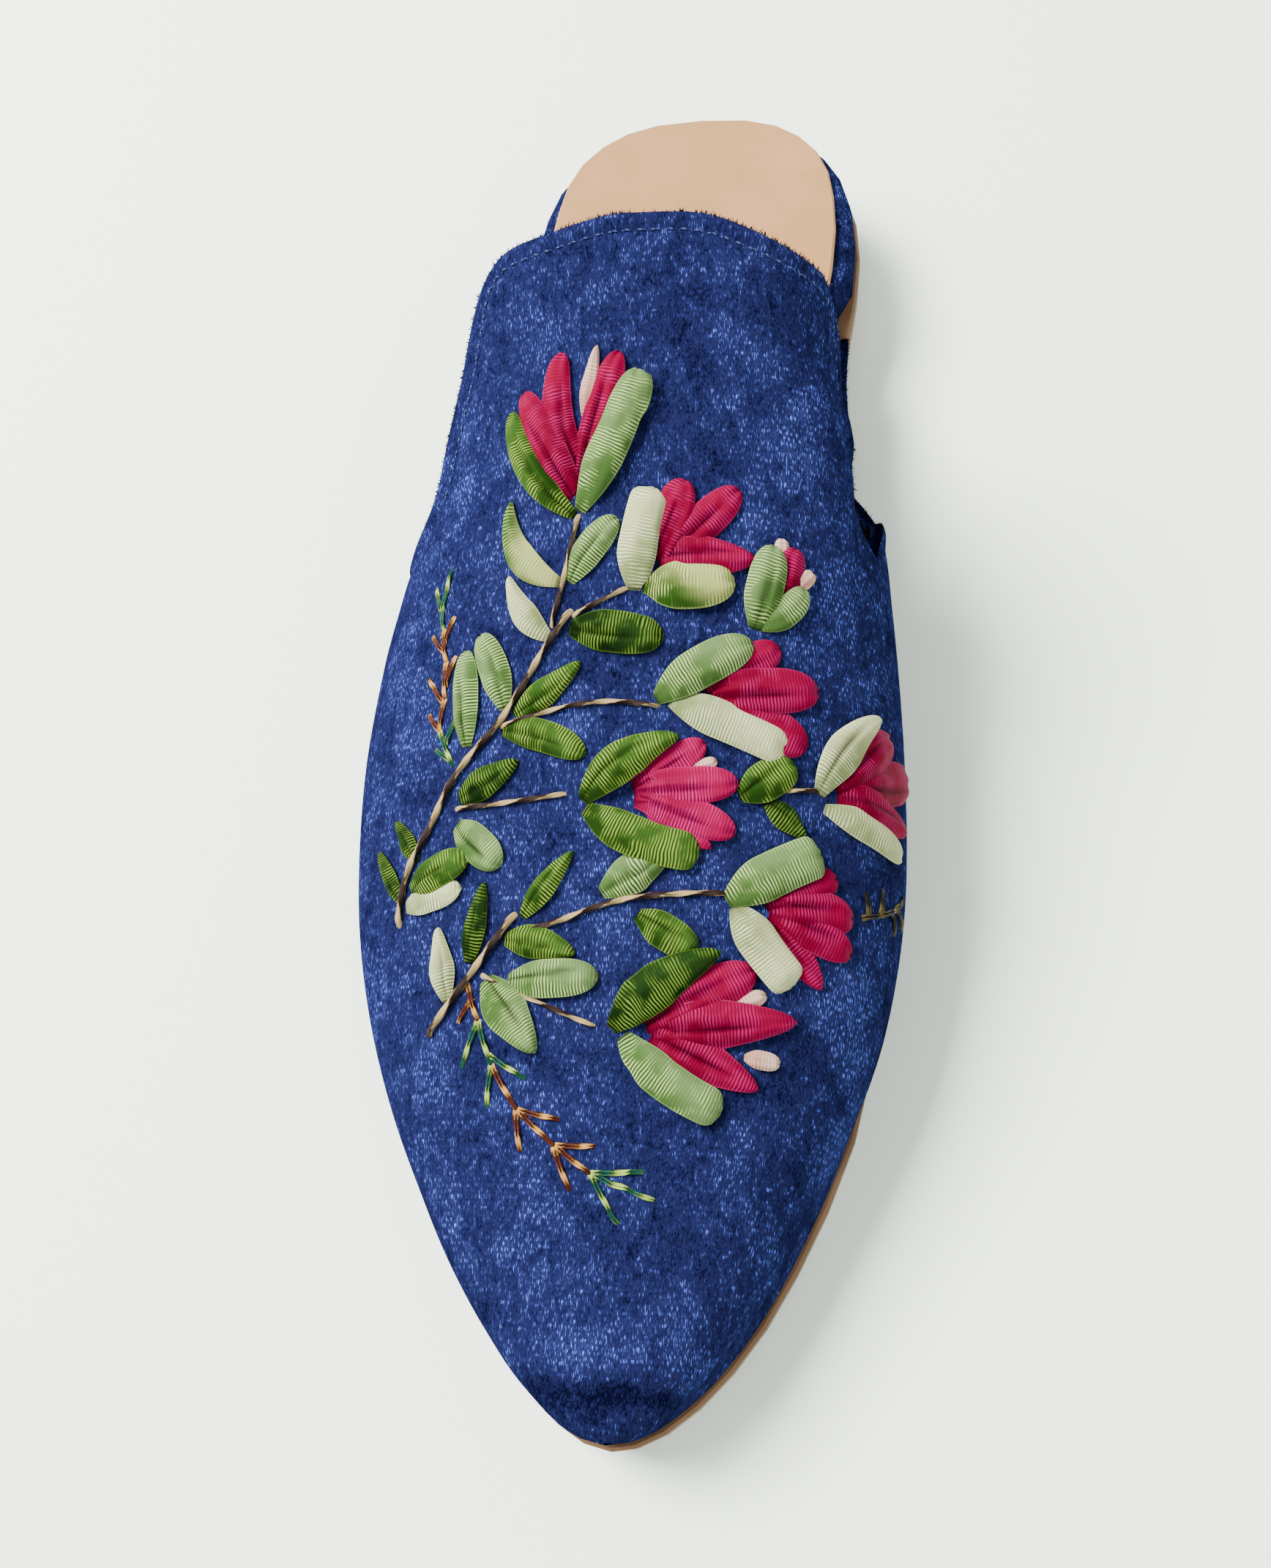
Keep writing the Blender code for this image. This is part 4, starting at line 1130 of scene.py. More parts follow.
class Dye(Enum):
    """Ribbon colours as (base, tip, painted rib glint, share of the painted glint, slant of the dye across
    the ribbon).
    """

    CRIMSON = ((0.088, 0.0012, 0.011), (0.140, 0.0012, 0.020), (0.330, 0.014, 0.108), 0.50, 0.3)
    ROSE = ((0.140, 0.002, 0.024), (0.190, 0.003, 0.034), (0.380, 0.016, 0.130), 0.68, 0.3)
    BLUSH = ((0.300, 0.150, 0.110), (0.420, 0.260, 0.200), (0.520, 0.370, 0.290), 0.6, 0.2)
    PALE_GREEN = ((0.034, 0.072, 0.016), (0.080, 0.130, 0.046), (0.260, 0.370, 0.120), 0.9, 0.8)
    CREAM = ((0.130, 0.160, 0.060), (0.310, 0.330, 0.165), (0.540, 0.570, 0.340), 0.6, 0.5)
    GREEN_CREAM = ((0.014, 0.042, 0.005), (0.240, 0.270, 0.085), (0.340, 0.400, 0.120), 0.8, 0.7)
    CREAM_GREEN = ((0.250, 0.270, 0.100), (0.020, 0.055, 0.009), (0.320, 0.380, 0.120), 0.6, 0.6)
    MID_GREEN = ((0.008, 0.024, 0.003), (0.024, 0.058, 0.009), (0.140, 0.220, 0.030), 0.95, 0.6)
    DARK_GREEN = ((0.003, 0.009, 0.002), (0.008, 0.022, 0.004), (0.085, 0.150, 0.018), 0.95, 0.5)


@dataclass(frozen=True)
class RibbonFinish:
    """Glossy woven ribbon in one dye, with painted glints on its ribs and painted shade in its furrows and
    folds.
    """

    dye: Dye
    selvedge: float = 0.28
    roughness: float = 0.40
    specular: float = 0.015
    anisotropy: float = 0.3
    bump: float = 0.32
    bump_depth: float = 0.00012

    def make(self, groups: Groups) -> bpy.types.Material:
        """Makes the material, whose gloss has the tint of the ribbon's tip.

        Args:
            groups: The shader groups.

        Returns:
            The material.
        """
        # rib is the painted glint colour of the ribs, and share how much of it is painted.
        base, tip, rib, share, slant = self.dye.value
        name = "ribbon_" + self.dye.name.lower()
        shader = Shader(name, self.roughness, self.specular, self.bump, self.bump_depth)
        tint = rgba(tuple(channel / max(tip) for channel in tip))
        shader.set(Anisotropic=self.anisotropy, Specular_Tint=tint)
        ribs = shader.use(
            groups.ribs,
            Cloth=shader.uv("cloth", UV_SCALE),
            Share=shader.uv("share"),
            Base=rgba(base),
            Tip=rgba(tip),
            Rib=rgba(rib),
            Rib_Share=share,
            Slant=slant,
            Selvedge=self.selvedge,
            Fold=shader.nodes.split(shader.uv("fold"))[0],
        )
        return shader.finish(ribs["Colour"], ribs["Height"])


@dataclass(frozen=True)
class ThreadFinish:
    """Thread of two twisted colours."""

    name: str
    first: Colour
    second: Colour
    pitch: float
    cover: float = 0.5
    metallic: float = 0.0
    roughness: float = 0.6
    specular: float = 0.12
    bump: float = 0.8

    def make(self, groups: Groups) -> bpy.types.Material:
        """Makes the material.

        Args:
            groups: The shader groups.

        Returns:
            The material.
        """
        shader = Shader(self.name, self.roughness, self.specular, self.bump)
        shader.set(Metallic=self.metallic)
        twist = shader.use(
            groups.twist,
            Vector=shader.uv("thread", UV_SCALE),
            First=rgba(self.first),
            Second=rgba(self.second),
            Pitch=self.pitch,
            Cover=self.cover,
        )
        return shader.finish(twist["Colour"], twist["Height"])


@dataclass(frozen=True)
class LeatherFinish:
    """Leather with grain and faint wear."""

    name: str
    colour: Colour
    worn: Colour
    grain: float = 1400.0
    bump: float = 0.08
    bump_depth: float = 0.0002
    roughness: float = 0.5
    specular: float = 0.15

    def make(self, groups: Groups) -> bpy.types.Material:
        """Makes the material.

        Args:
            groups: The shader groups.

        Returns:
            The material.
        """
        shader = Shader(self.name, self.roughness, self.specular, self.bump, self.bump_depth)
        grain = shader.use(
            groups.grain,
            Vector=shader.place(),
            Colour=rgba(self.colour),
            Worn=rgba(self.worn),
            Grain_Scale=self.grain,
        )
        shader.set(Roughness=grain["Roughness"])
        return shader.finish(grain["Colour"], grain["Height"])


@dataclass
class Pattern:
    """The upper laid flat: points as laps and y, with its triangles, open edges and each point's rise."""

    points: np.ndarray
    triangles: Faces
    rim: list[int]
    feet: list[list[int]]
    rise: np.ndarray


@dataclass
class Upper:
    """The velvet upper: one wall with a folded, stitched hem along its topline."""

    wall: float = 2.0
    hem_rise: float = 0.45
    side_hem: float = 4.3
    top_hem: float = 2.6
    hem_step: float = 0.8
    roll_width: float = 1.2
    edge_share: float = 0.4
    groove: float = 0.55
    groove_width: float = 0.75
    rim_share: float = 0.6
    # How much darker the painted shade makes the rolled rim and its pile.
    rim_shade: float = 0.22
    rim_pattern_shift: float = 1.3
    edge_samples: int = 560
    stations: int = 96
    station_crowding: float = 1.25
    rows_above: int = 34
    rows_below: int = 7
    lap_spacing: float = 46.0
    insets: tuple[float, ...] = (0.5, 1.2, 1.8, 2.3, 2.6, 2.9, 3.4, 4.0, 4.3, 4.6, 5.1, 6.0)
    last_hem_lap: float = 1.98
    kept_inset_share: float = 0.9
    foot_clearance: float = 0.6
    grid_clearance: float = 1.2
    batch: int = 2000
    same_point: float = 1e-5
    keep_inside: int = 1

    def topline(self, inset: Numbers = 0.0) -> np.ndarray:
        """A line inside the topline.

        Args:
            inset: How far inside, over the surface.

        Returns:
            Laps and y of the line's places.
        """
        scales = (self.lap_spacing, 1.0)
        line = smooth_curve(np.array(TOPLINE) * scales, self.edge_samples, closed=False) / scales
        laps, y = line.T
        scale = FORM.lap_length(laps, y)
        along = unit(np.column_stack([np.gradient(laps) * scale, np.gradient(y)]))
        inside = np.column_stack([along[:, 1] / scale, -along[:, 0]])
        return line + inside * np.reshape(inset, (-1, 1))

    def stitch_inset(self, laps: np.ndarray) -> np.ndarray:
        """How far inside the topline the hem is sewn: more on the outer side than over the top."""
        return self.side_hem + (self.top_hem - self.side_hem) * ease((laps + TOP_HEM_LAP) / HEM_CHANGE)

    def from_edge(self, points: np.ndarray, edge: np.ndarray) -> np.ndarray:
        """Distance over the surface from an edge.

        Args:
            points: Laps and y of the places to measure.
            edge: Laps and y of the edge's places.

        Returns:
            The distance of each place.
        """
        scale = np.column_stack([FORM.lap_length(*points.T), np.ones(len(points))])
        nearest = np.full(len(points), np.inf)
        for start in range(0, len(points), self.batch):
            part = slice(start, start + self.batch)
            apart = (points[part, None] - edge[None]) * scale[part, None]
            nearest[part] = np.min(np.linalg.norm(apart, axis=-1), axis=1)
        return nearest

    def raised(self, distance: np.ndarray, laps: np.ndarray) -> np.ndarray:
        """How far the hem stands above the velvet.

        Args:
            distance: Distance of each place from the topline.
            laps: Its lap.

        Returns:
            The rise of each place, negative in the sewn groove.
        """
        past = distance - self.stitch_inset(laps)
        step = 1 - ease(past / self.hem_step)
        roll = np.sqrt(np.clip(distance / self.roll_width, 0, 1))
        sewn = np.exp(-((past / self.groove_width) ** 2))
        return self.hem_rise * step * (self.edge_share + (1 - self.edge_share) * roll) - self.groove * sewn

    def hem_lines(self, edge: np.ndarray, foot: np.ndarray) -> np.ndarray:
        """Points on lines beside the topline, which carry the hem's step and groove.

        Args:
            edge: Laps and y along the topline.
            foot: Laps and y along the feather lines.

        Returns:
            Laps and y of the points.
        """
        hems = []
        for inset in self.insets:
            line = self.topline(inset)
            line = line[np.abs(line[:, 0]) < self.last_hem_lap]
            line = line[self.from_edge(line, edge) > inset * self.kept_inset_share]
            hems.append(line[self.from_edge(line, foot) > self.foot_clearance])
        return np.vstack(hems)

    def pattern(self) -> Pattern:
        """The upper laid flat and cut into triangles."""
        edge = self.topline()
        shares = np.linspace(0, 1, self.stations + 1) ** self.station_crowding
        stations = TOE_Y + (edge[:, 1].max() - TOE_Y) * shares
        below = 1 + np.linspace(0, 1, self.rows_below + 1)[1:]
        half = np.concatenate([np.linspace(0, 1, self.rows_above + 1), below])
        laps = np.concatenate([-half[:0:-1], half])
        foot_y = stations[(stations > TOE_Y) & (stations < WING_END_Y - 1)]
        inner_foot = np.column_stack([np.full(len(foot_y), FEATHER_LAP), foot_y[::-1]])
        toe = np.column_stack([laps[::-1], np.full(len(laps), TOE_Y)])
        outer_foot = np.column_stack([np.full(len(foot_y), -FEATHER_LAP), foot_y])
        outline = np.vstack([edge, inner_foot, toe, outer_foot])
        hem = self.hem_lines(edge, np.vstack([inner_foot, outer_foot]))
        grid = np.array([(lap, y) for y in stations[1:] for lap in laps[1:-1]])
        grid = grid[inside_of(outline, grid)]
        grid = grid[self.from_edge(grid, edge) > self.insets[-1] + self.grid_clearance]
        points = np.vstack([outline, hem, grid])
        first_toe = len(edge) + len(inner_foot)
        last_toe = first_toe + len(toe) - 1
        feet = [list(range(len(edge) - 1, first_toe + 1)), [*range(last_toe, len(outline)), 0]]
        flat = [Vector(point) for point in points * (self.lap_spacing, 1.0)]
        loop = list(range(len(outline)))
        _, _, found, origins, _, _ = delaunay_2d_cdt(flat, [], [loop], self.keep_inside, self.same_point)
        triangles = [tuple(origins[i][0] for i in face) for face in found]
        rise = self.raised(self.from_edge(points, edge), points[:, 0])
        return Pattern(points, triangles, list(range(len(edge))), feet, rise)

    def wall_faces(self, pattern: Pattern) -> tuple[Faces, np.ndarray]:
        """Faces that close the wall round its outside, inside and rolled rim.

        Args:
            pattern: The upper laid flat.

        Returns:
            The faces, and the slot of each: 0 is velvet and 1 lining.
        """
        size = len(pattern.points)
        faces = list(pattern.triangles)
        faces += [tuple(size + i for i in reversed(face)) for face in pattern.triangles]
        slots = [0] * len(pattern.triangles) + [1] * len(pattern.triangles)
        for i, after in zip(pattern.rim, pattern.rim[1:]):
            faces.append((after, i, 2 * size + i, 2 * size + after))
            faces.append((2 * size + after, 2 * size + i, size + i, size + after))
        for foot in pattern.feet:
            faces += [(after, i, size + i, size + after) for i, after in zip(foot, foot[1:])]
        return faces, np.array(slots + [0] * (len(faces) - len(slots)))

    def build(self, velvet: bpy.types.Material, lining: bpy.types.Material) -> None:
        """Builds the upper as one closed wall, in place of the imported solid.

        Args:
            velvet: The material outside and along the rim.
            lining: The material inside.
        """
        pattern = self.pattern()
        laps, y = pattern.points.T
        rim = pattern.rim
        girth = FORM.girths(laps, y)
        outside = FORM.at_lap(laps, y, -pattern.rise - soft_marks(CREASES, girth, y))
        inside = FORM.at_lap(laps, y, self.wall)
        rolled = inside[rim] + (outside[rim] - inside[rim]) * self.rim_share
        uv = np.column_stack([girth, y])
        uv = np.concatenate([uv, uv, uv[rim] + (0.0, self.rim_pattern_shift)]) / UV_SCALE
        # Painted sheen and shade of the pile, with painted shade along the rolled rim.
        nap = soft_marks(PAINTED_SHEEN_MARKS, girth, y)
        nap = np.concatenate([nap, nap, nap[rim] - self.rim_shade])
        maps = {"pattern": uv, "nap": np.column_stack([nap, nap])}
        points = np.concatenate([outside, inside, rolled])
        faces, slots = self.wall_faces(pattern)
        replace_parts(make_object("velvet_upper", points, faces, [velvet, lining], slots, maps), "upper")


@dataclass
class ToplinePile:
    """Pile that bristles from the topline's edge, as narrow blades."""

    upper: Upper
    blades: int = 8000
    length: float = 0.75
    length_range: Span = (0.5, 1.35)
    half_width: float = 0.11
    outside_rise: float = 0.2
    rooted_share: float = 0.6
    aim_inset: float = 3.0
    upward: float = 0.35
    scatter: float = 0.45
    pattern_size: float = 2.0
    end_gap: float = 0.001
    seed: int = 4

    def build(self, velvet: bpy.types.Material) -> None:
        """Builds one object of all blades.

        Args:
            velvet: The pile's material.
        """
        rng = np.random.default_rng(self.seed)
        edge = self.upper.topline()
        outside = FORM.at_lap(*edge.T, -self.outside_rise)
        inside = FORM.at_lap(*edge.T, self.upper.wall)
        inner = FORM.at_lap(*self.upper.topline(self.aim_inset).T, 0.0)
        place = rng.uniform(0, len(edge) - 1 - self.end_gap, self.blades)
        across = rng.uniform(0, self.rooted_share, self.blades)[:, None]
        number = np.arange(len(edge))

        def read(rows: np.ndarray) -> np.ndarray:
            """Rows read at the blades' places."""
            return np.column_stack([np.interp(place, number, column) for column in rows.T])

        root = read(outside) * (1 - across) + read(inside) * across
        out = unit(read(outside) - read(inner))
        up = unit(read(outside) - read(inside))
        side = np.cross(out, up)
        lean = rng.normal(0, self.scatter, (3, self.blades))
        ahead = unit(out + up * (lean[0] + self.upward)[:, None] + side * lean[1][:, None])
        reach = self.length * rng.uniform(*self.length_range, self.blades)[:, None]
        half = side * self.half_width
        points = np.stack([root - half, root + half, root + ahead * reach], axis=1).reshape(-1, 3)
        faces = np.arange(3 * self.blades).reshape(-1, 3).tolist()
        spots = np.repeat(rng.uniform(0, self.pattern_size, (self.blades, 2)), 3, axis=0)
        # The blades get the rim's painted shade.
        maps = {"pattern": spots, "nap": np.full((3 * self.blades, 2), -self.upper.rim_shade)}
        make_object("topline_pile", points, faces, [velvet], None, maps, smooth=False)


@dataclass
class HemSeam:
    """Running stitches in the groove along the tongue's hem."""

    upper: Upper
    dark: Colour = (0.014, 0.020, 0.075)
    light: Colour = (0.062, 0.092, 0.290)
    ply_pitch: float = 1.0
    pitch: float = 2.3
    stitch: float = 1.7
    thickness: float = 0.34
    start_y: float = 15.0
    sunk_share: float = 0.45
    arch: float = 0.28
    end_share: float = 0.06
    bulge_power: float = 0.6
    steps: int = 6
    sides: int = 6

    def path(self) -> np.ndarray:
        """Points along the groove, each with the way out of the velvet in its last three columns."""
        line = self.upper.topline(self.upper.stitch_inset(self.upper.topline()[:, 0]))
        line = line[(line[:, 1] > self.start_y) & (np.abs(line[:, 0]) < TONGUE_LAP)]
        sunk = self.upper.groove * self.sunk_share - soft_marks(CREASES, FORM.girths(*line.T), line[:, 1])
        points = FORM.at_lap(*line.T, sunk)
        return np.hstack([points, FORM.at_lap(*line.T, sunk - 1.0) - points])

    def stitch_points(self, centre: np.ndarray, rise: np.ndarray) -> np.ndarray:
        """Points of one stitch, ring by ring.

        Args:
            centre: Points along the groove.
            rise: The way out of the velvet at each.

        Returns:
            One row for each point.
        """
        side = unit(np.cross(np.gradient(centre, axis=0), rise))
        shares = self.end_share + (1 - 2 * self.end_share) * np.linspace(0, 1, self.steps + 1)
        bulge = np.sin(np.pi * shares) ** self.bulge_power
        centre = centre + rise * (bulge * self.arch)[:, None]
        angles = np.linspace(0, 2 * np.pi, self.sides, endpoint=False)
        ring = side[:, None] * np.cos(angles)[None, :, None] + rise[:, None] * np.sin(angles)[None, :, None]
        return (centre[:, None] + ring * (bulge * self.thickness / 2)[:, None, None]).reshape(-1, 3)

    def stitch_faces(self, first: int) -> Faces:
        """Faces of one stitch.

        Args:
            first: Number of its first point.

        Returns:
            The faces, with both ends closed.
        """
        faces = []
        for here in range(first, first + self.steps * self.sides, self.sides):
            there = here + self.sides
            for j in range(self.sides):
                after = (j + 1) % self.sides
                faces.append((here + j, there + j, there + after, here + after))
        last = first + self.steps * self.sides
        faces.append(tuple(range(first, first + self.sides)))
        faces.append(tuple(range(last + self.sides - 1, last - 1, -1)))
        return faces

    def build(self, groups: Groups) -> None:
        """Builds one object of short rounded stitches.

        Args:
            groups: The shader groups.
        """
        thread = ThreadFinish("seam_thread", self.dark, self.light, self.ply_pitch).make(groups)
        path = self.path()
        travelled = travelled_along(path[:, :3])
        around = np.linspace(0, 1, self.sides, endpoint=False)[None]
        steps = np.linspace(0, 1, self.steps + 1)
        points, faces, coords = [], [], []
        for begin in np.arange(0.0, travelled[-1] - self.stitch, self.pitch):
            place = begin + steps * self.stitch
            read = np.column_stack([np.interp(place, travelled, column) for column in path.T])
            faces += self.stitch_faces(len(points) * (self.steps + 1) * self.sides)
            points.append(self.stitch_points(read[:, :3], read[:, 3:]))
            coords.append(np.stack(np.broadcast_arrays(around, place[:, None]), axis=-1).reshape(-1, 2))
        maps = {"thread": np.concatenate(coords) / UV_SCALE}
        make_object("hem_stitches", np.concatenate(points), faces, [thread], None, maps)


class Tip(Enum):
    """How a ribbon ends."""

    POINT = "point"
    ROUND = "round"
    SQUARE = "square"


@dataclass(frozen=True)
class RibbonShape:
    """How every ribbon widens, ends and arches, and how much shade is painted in its folds and at its root.

    Starts, ends and shares are shares of its length, widths are shares of half its width, and
    wave, curl, pleat, dip and root_depth are millimetres.
    """

    widen_share: float = 0.42
    point_share: float = 0.52
    point_power: float = 0.56
    round_start: float = 0.52
    round_share: float = 0.485
    round_power: float = 2.7
    square_start: float = 0.87
    square_share: float = 0.132
    square_power: float = 2.6
    square_taper: float = 0.10
    least_width: float = 0.02
    phase_turn: float = 1.7
    fold_wander: float = 0.3
    fold_width: float = 0.12
    fold_end: float = 0.86
    fold_fade: float = 0.3
    root_arch: float = 0.12
    arch_start: float = 0.34
    arch_end: float = 0.84
    arch_fall: float = 0.165
    dome_power: float = 2.6
    wave: float = 0.09
    waves: float = 2.3
    curl: float = 0.10
    curl_turn: float = 9.0
    pleat: float = 0.30
    pleat_power: float = 1.3
    dip: float = 0.55
    dip_width: float = 0.45
    dip_start: float = 0.86
    root_depth: float = 0.15
    # Painted shade: how dark the folds and the root are painted.
    fold_shade: float = 2.2
    most_fold_shade: float = 0.8
    root_shade: float = 0.7
    root_shade_share: float = 0.05
    cloth_shift: float = 3.0
    along: int = 26
    along_power: float = 0.9
    across: int = 16


@dataclass(frozen=True)
class Ribbon:
    """One ribbon stitch, laid over the upper from base to tip, each given as girth and y."""

    base: Point
    tip: Point
    width: float
    dye: Dye
    end: Tip = Tip.POINT
    bow: float = 0.0
    lift: float = 0.2
    puff: float = 1.2
    crease: float = 0.0
    pleats: int = 0
    neck: float = 0.28
    edge_drop: float = 0.64
    layer_rise: float = 0.16
    thickness: float = 0.16
    shape: RibbonShape = RibbonShape()

    def half_width(self, share: np.ndarray) -> np.ndarray:
        """Half the ribbon's width.

        Args:
            share: Places from base to tip, 0 to 1.

        Returns:
            Half the width at each place.
        """
        form = self.shape
        start = self.neck + (1 - self.neck) * np.sin(np.clip(share / form.widen_share, 0, 1) * np.pi / 2)
        if self.end is Tip.POINT:
            close = np.clip((1 - share) / form.point_share, 0, 1) ** form.point_power
        elif self.end is Tip.ROUND:
            past = np.clip(share - form.round_start, 0, 1) / form.round_share
            close = np.sqrt(np.clip(1 - past**form.round_power, 0, 1))
        else:
            past = np.clip(share - form.square_start, 0, 1) / form.square_share
            close = np.sqrt(np.clip(1 - past**form.square_power, 0, 1)) * (1 - form.square_taper * share)
        return self.width / 2 * start * np.maximum(close, form.least_width)

    def flat(self, share: np.ndarray, side: np.ndarray) -> np.ndarray:
        """The ribbon's grid laid flat.

        Args:
            share: Places from base to tip, 0 to 1.
            side: Places across, -1 to 1, as a row.

        Returns:
            Girth and y of each place of the grid.
        """
        base, run = np.array(self.base), np.array(self.tip) - self.base
        turn = np.array([-run[1], run[0]])
        bend = self.bow * 4 * share * (1 - share)
        centre = base + run * share[:, None] + turn * bend[:, None]
        ahead = unit(np.gradient(centre, axis=0))
        over = np.column_stack([-ahead[:, 1], ahead[:, 0]])
        return centre[:, None] + over[:, None] * (self.half_width(share)[:, None] * side)[..., None]

    def phase(self) -> float:
        """A number of its own for each ribbon, which sets its waves and fold."""
        return sum(self.base) * self.shape.phase_turn

    def fold(self, share: np.ndarray, side: np.ndarray) -> np.ndarray:
        """How deep each place lies in the lengthwise fold.

        Args:
            share: Places from base to tip, 0 to 1, as a column.
            side: Places across, -1 to 1, as a row.

        Returns:
            0 to 1 for each place of the grid.
        """
        form = self.shape
        middle = form.fold_wander * math.sin(self.phase()) * (0.5 + share)
        depth = np.exp(-(((side - middle) / form.fold_width) ** 2))
        return depth * ease((form.fold_end - share) / form.fold_fade)

    def heights(self, share: np.ndarray, side: np.ndarray, layer: int) -> np.ndarray:
        """How far the ribbon's upper face stands over the velvet.

        Args:
            share: Places from base to tip, 0 to 1, as a column.
            side: Places across, -1 to 1, as a row.
            layer: How many ribbons of its blossom lie under it.

        Returns:
            One height for each place of the grid.
        """
        form, phase = self.shape, self.phase()
        start = form.root_arch + (1 - form.root_arch) * ease(share / form.arch_start)
        fall = np.clip(share - form.arch_end, 0, 1) / form.arch_fall
        arch = start * np.sqrt(np.clip(1 - fall**2, 0, 1))
        dome = 1 - self.edge_drop * np.abs(side) ** form.dome_power
        height = self.lift + self.layer_rise * layer * start + self.puff * arch * dome
        height -= self.crease * self.fold(share, side) * arch
        height += form.wave * np.cos(side * form.waves * np.pi + phase) * arch
        height += form.curl * np.sin(share * form.curl_turn + phase) * side**3 * arch
        if self.pleats:
            pleat = np.cos(side * (self.pleats + 0.5) * np.pi + phase)
            height += form.pleat * pleat * (1 - share) ** form.pleat_power
        if self.end is not Tip.POINT:
            dip = ease((share - form.dip_start) / (1 - form.dip_start))
            height -= form.dip * np.exp(-((side / form.dip_width) ** 2)) * dip
        height[0] = np.minimum(height[0], -form.root_depth)
        return height

    def faces(self) -> Faces:
        """Faces of the ribbon's thin strip: above, below and round the edge."""
        along, across = self.shape.along, self.shape.across
        number = np.arange((along + 1) * (across + 1)).reshape(along + 1, across + 1)
        size = number.size
        faces = []
        for i in range(along):
            for j in range(across):
                quad = (number[i, j], number[i + 1, j], number[i + 1, j + 1], number[i, j + 1])
                faces.append(quad)
                faces.append(tuple(size + n for n in reversed(quad)))
        rim = np.concatenate([number[0, :-1], number[:-1, -1], number[-1, :0:-1], number[:0:-1, 0]])
        for here, after in zip(rim, np.roll(rim, -1)):
            faces.append((here, after, size + after, size + here))
        return faces

    def maps(self, share: np.ndarray, side: np.ndarray) -> Maps:
        """UV maps of the cloth, of the shares across and along, and of the painted shade in the folds and at
        the root.

        Args:
            share: Places from base to tip, 0 to 1, as a column.
            side: Places across, -1 to 1, as a row.

        Returns:
            The maps of the upper and the lower face.
        """
        form = self.shape
        length = float(np.linalg.norm(np.subtract(self.tip, self.base)))
        across = side * self.half_width(share)
        along = share * length + form.cloth_shift * sum(self.base)
        # Painted shade: darkest in the lengthwise fold and where the ribbon goes under at its root.
        depth = min(self.crease * form.fold_shade, form.most_fold_shade) * self.fold(share, side)
        depth = np.maximum(depth, form.root_shade * np.exp(-share / form.root_shade_share))
        maps = {
            "cloth": np.stack(np.broadcast_arrays(across, along), axis=-1) / UV_SCALE,
            "share": np.stack(np.broadcast_arrays(side * 0.5 + 0.5, share), axis=-1),
            "fold": np.stack([depth, depth], axis=-1),
        }
        return {name: np.tile(values.reshape(-1, 2), (2, 1)) for name, values in maps.items()}

    def mesh(self, layer: int) -> tuple[np.ndarray, Faces, Maps]:
        """The ribbon as one thin closed strip.

        Args:
            layer: How many ribbons of its blossom lie under it.

        Returns:
            Its points, faces and UV maps.
        """
        share = np.linspace(0, 1, self.shape.along + 1) ** self.shape.along_power
        side = np.sin(np.linspace(-1, 1, self.shape.across + 1) * np.pi / 2)[None]
        girth, y = np.moveaxis(self.flat(share, side), -1, 0)
        top = self.heights(share[:, None], side, layer)
        sides = [FORM.at_girth(girth, y, top - depth).reshape(-1, 3) for depth in (0.0, self.thickness)]
        return np.concatenate(sides), self.faces(), self.maps(share[:, None], side)


@dataclass(frozen=True)
class Petal(Ribbon):
    """A petal's ribbon, creased along its middle and wide at its base."""

    dye: Dye = Dye.CRIMSON
    end: Tip = Tip.ROUND
    crease: float = 0.4
    neck: float = 0.6


@dataclass(frozen=True)
class Leaf(Ribbon):
    """A leaf's ribbon, lightly creased along its middle."""

    puff: float = 1.4
    crease: float = 0.4


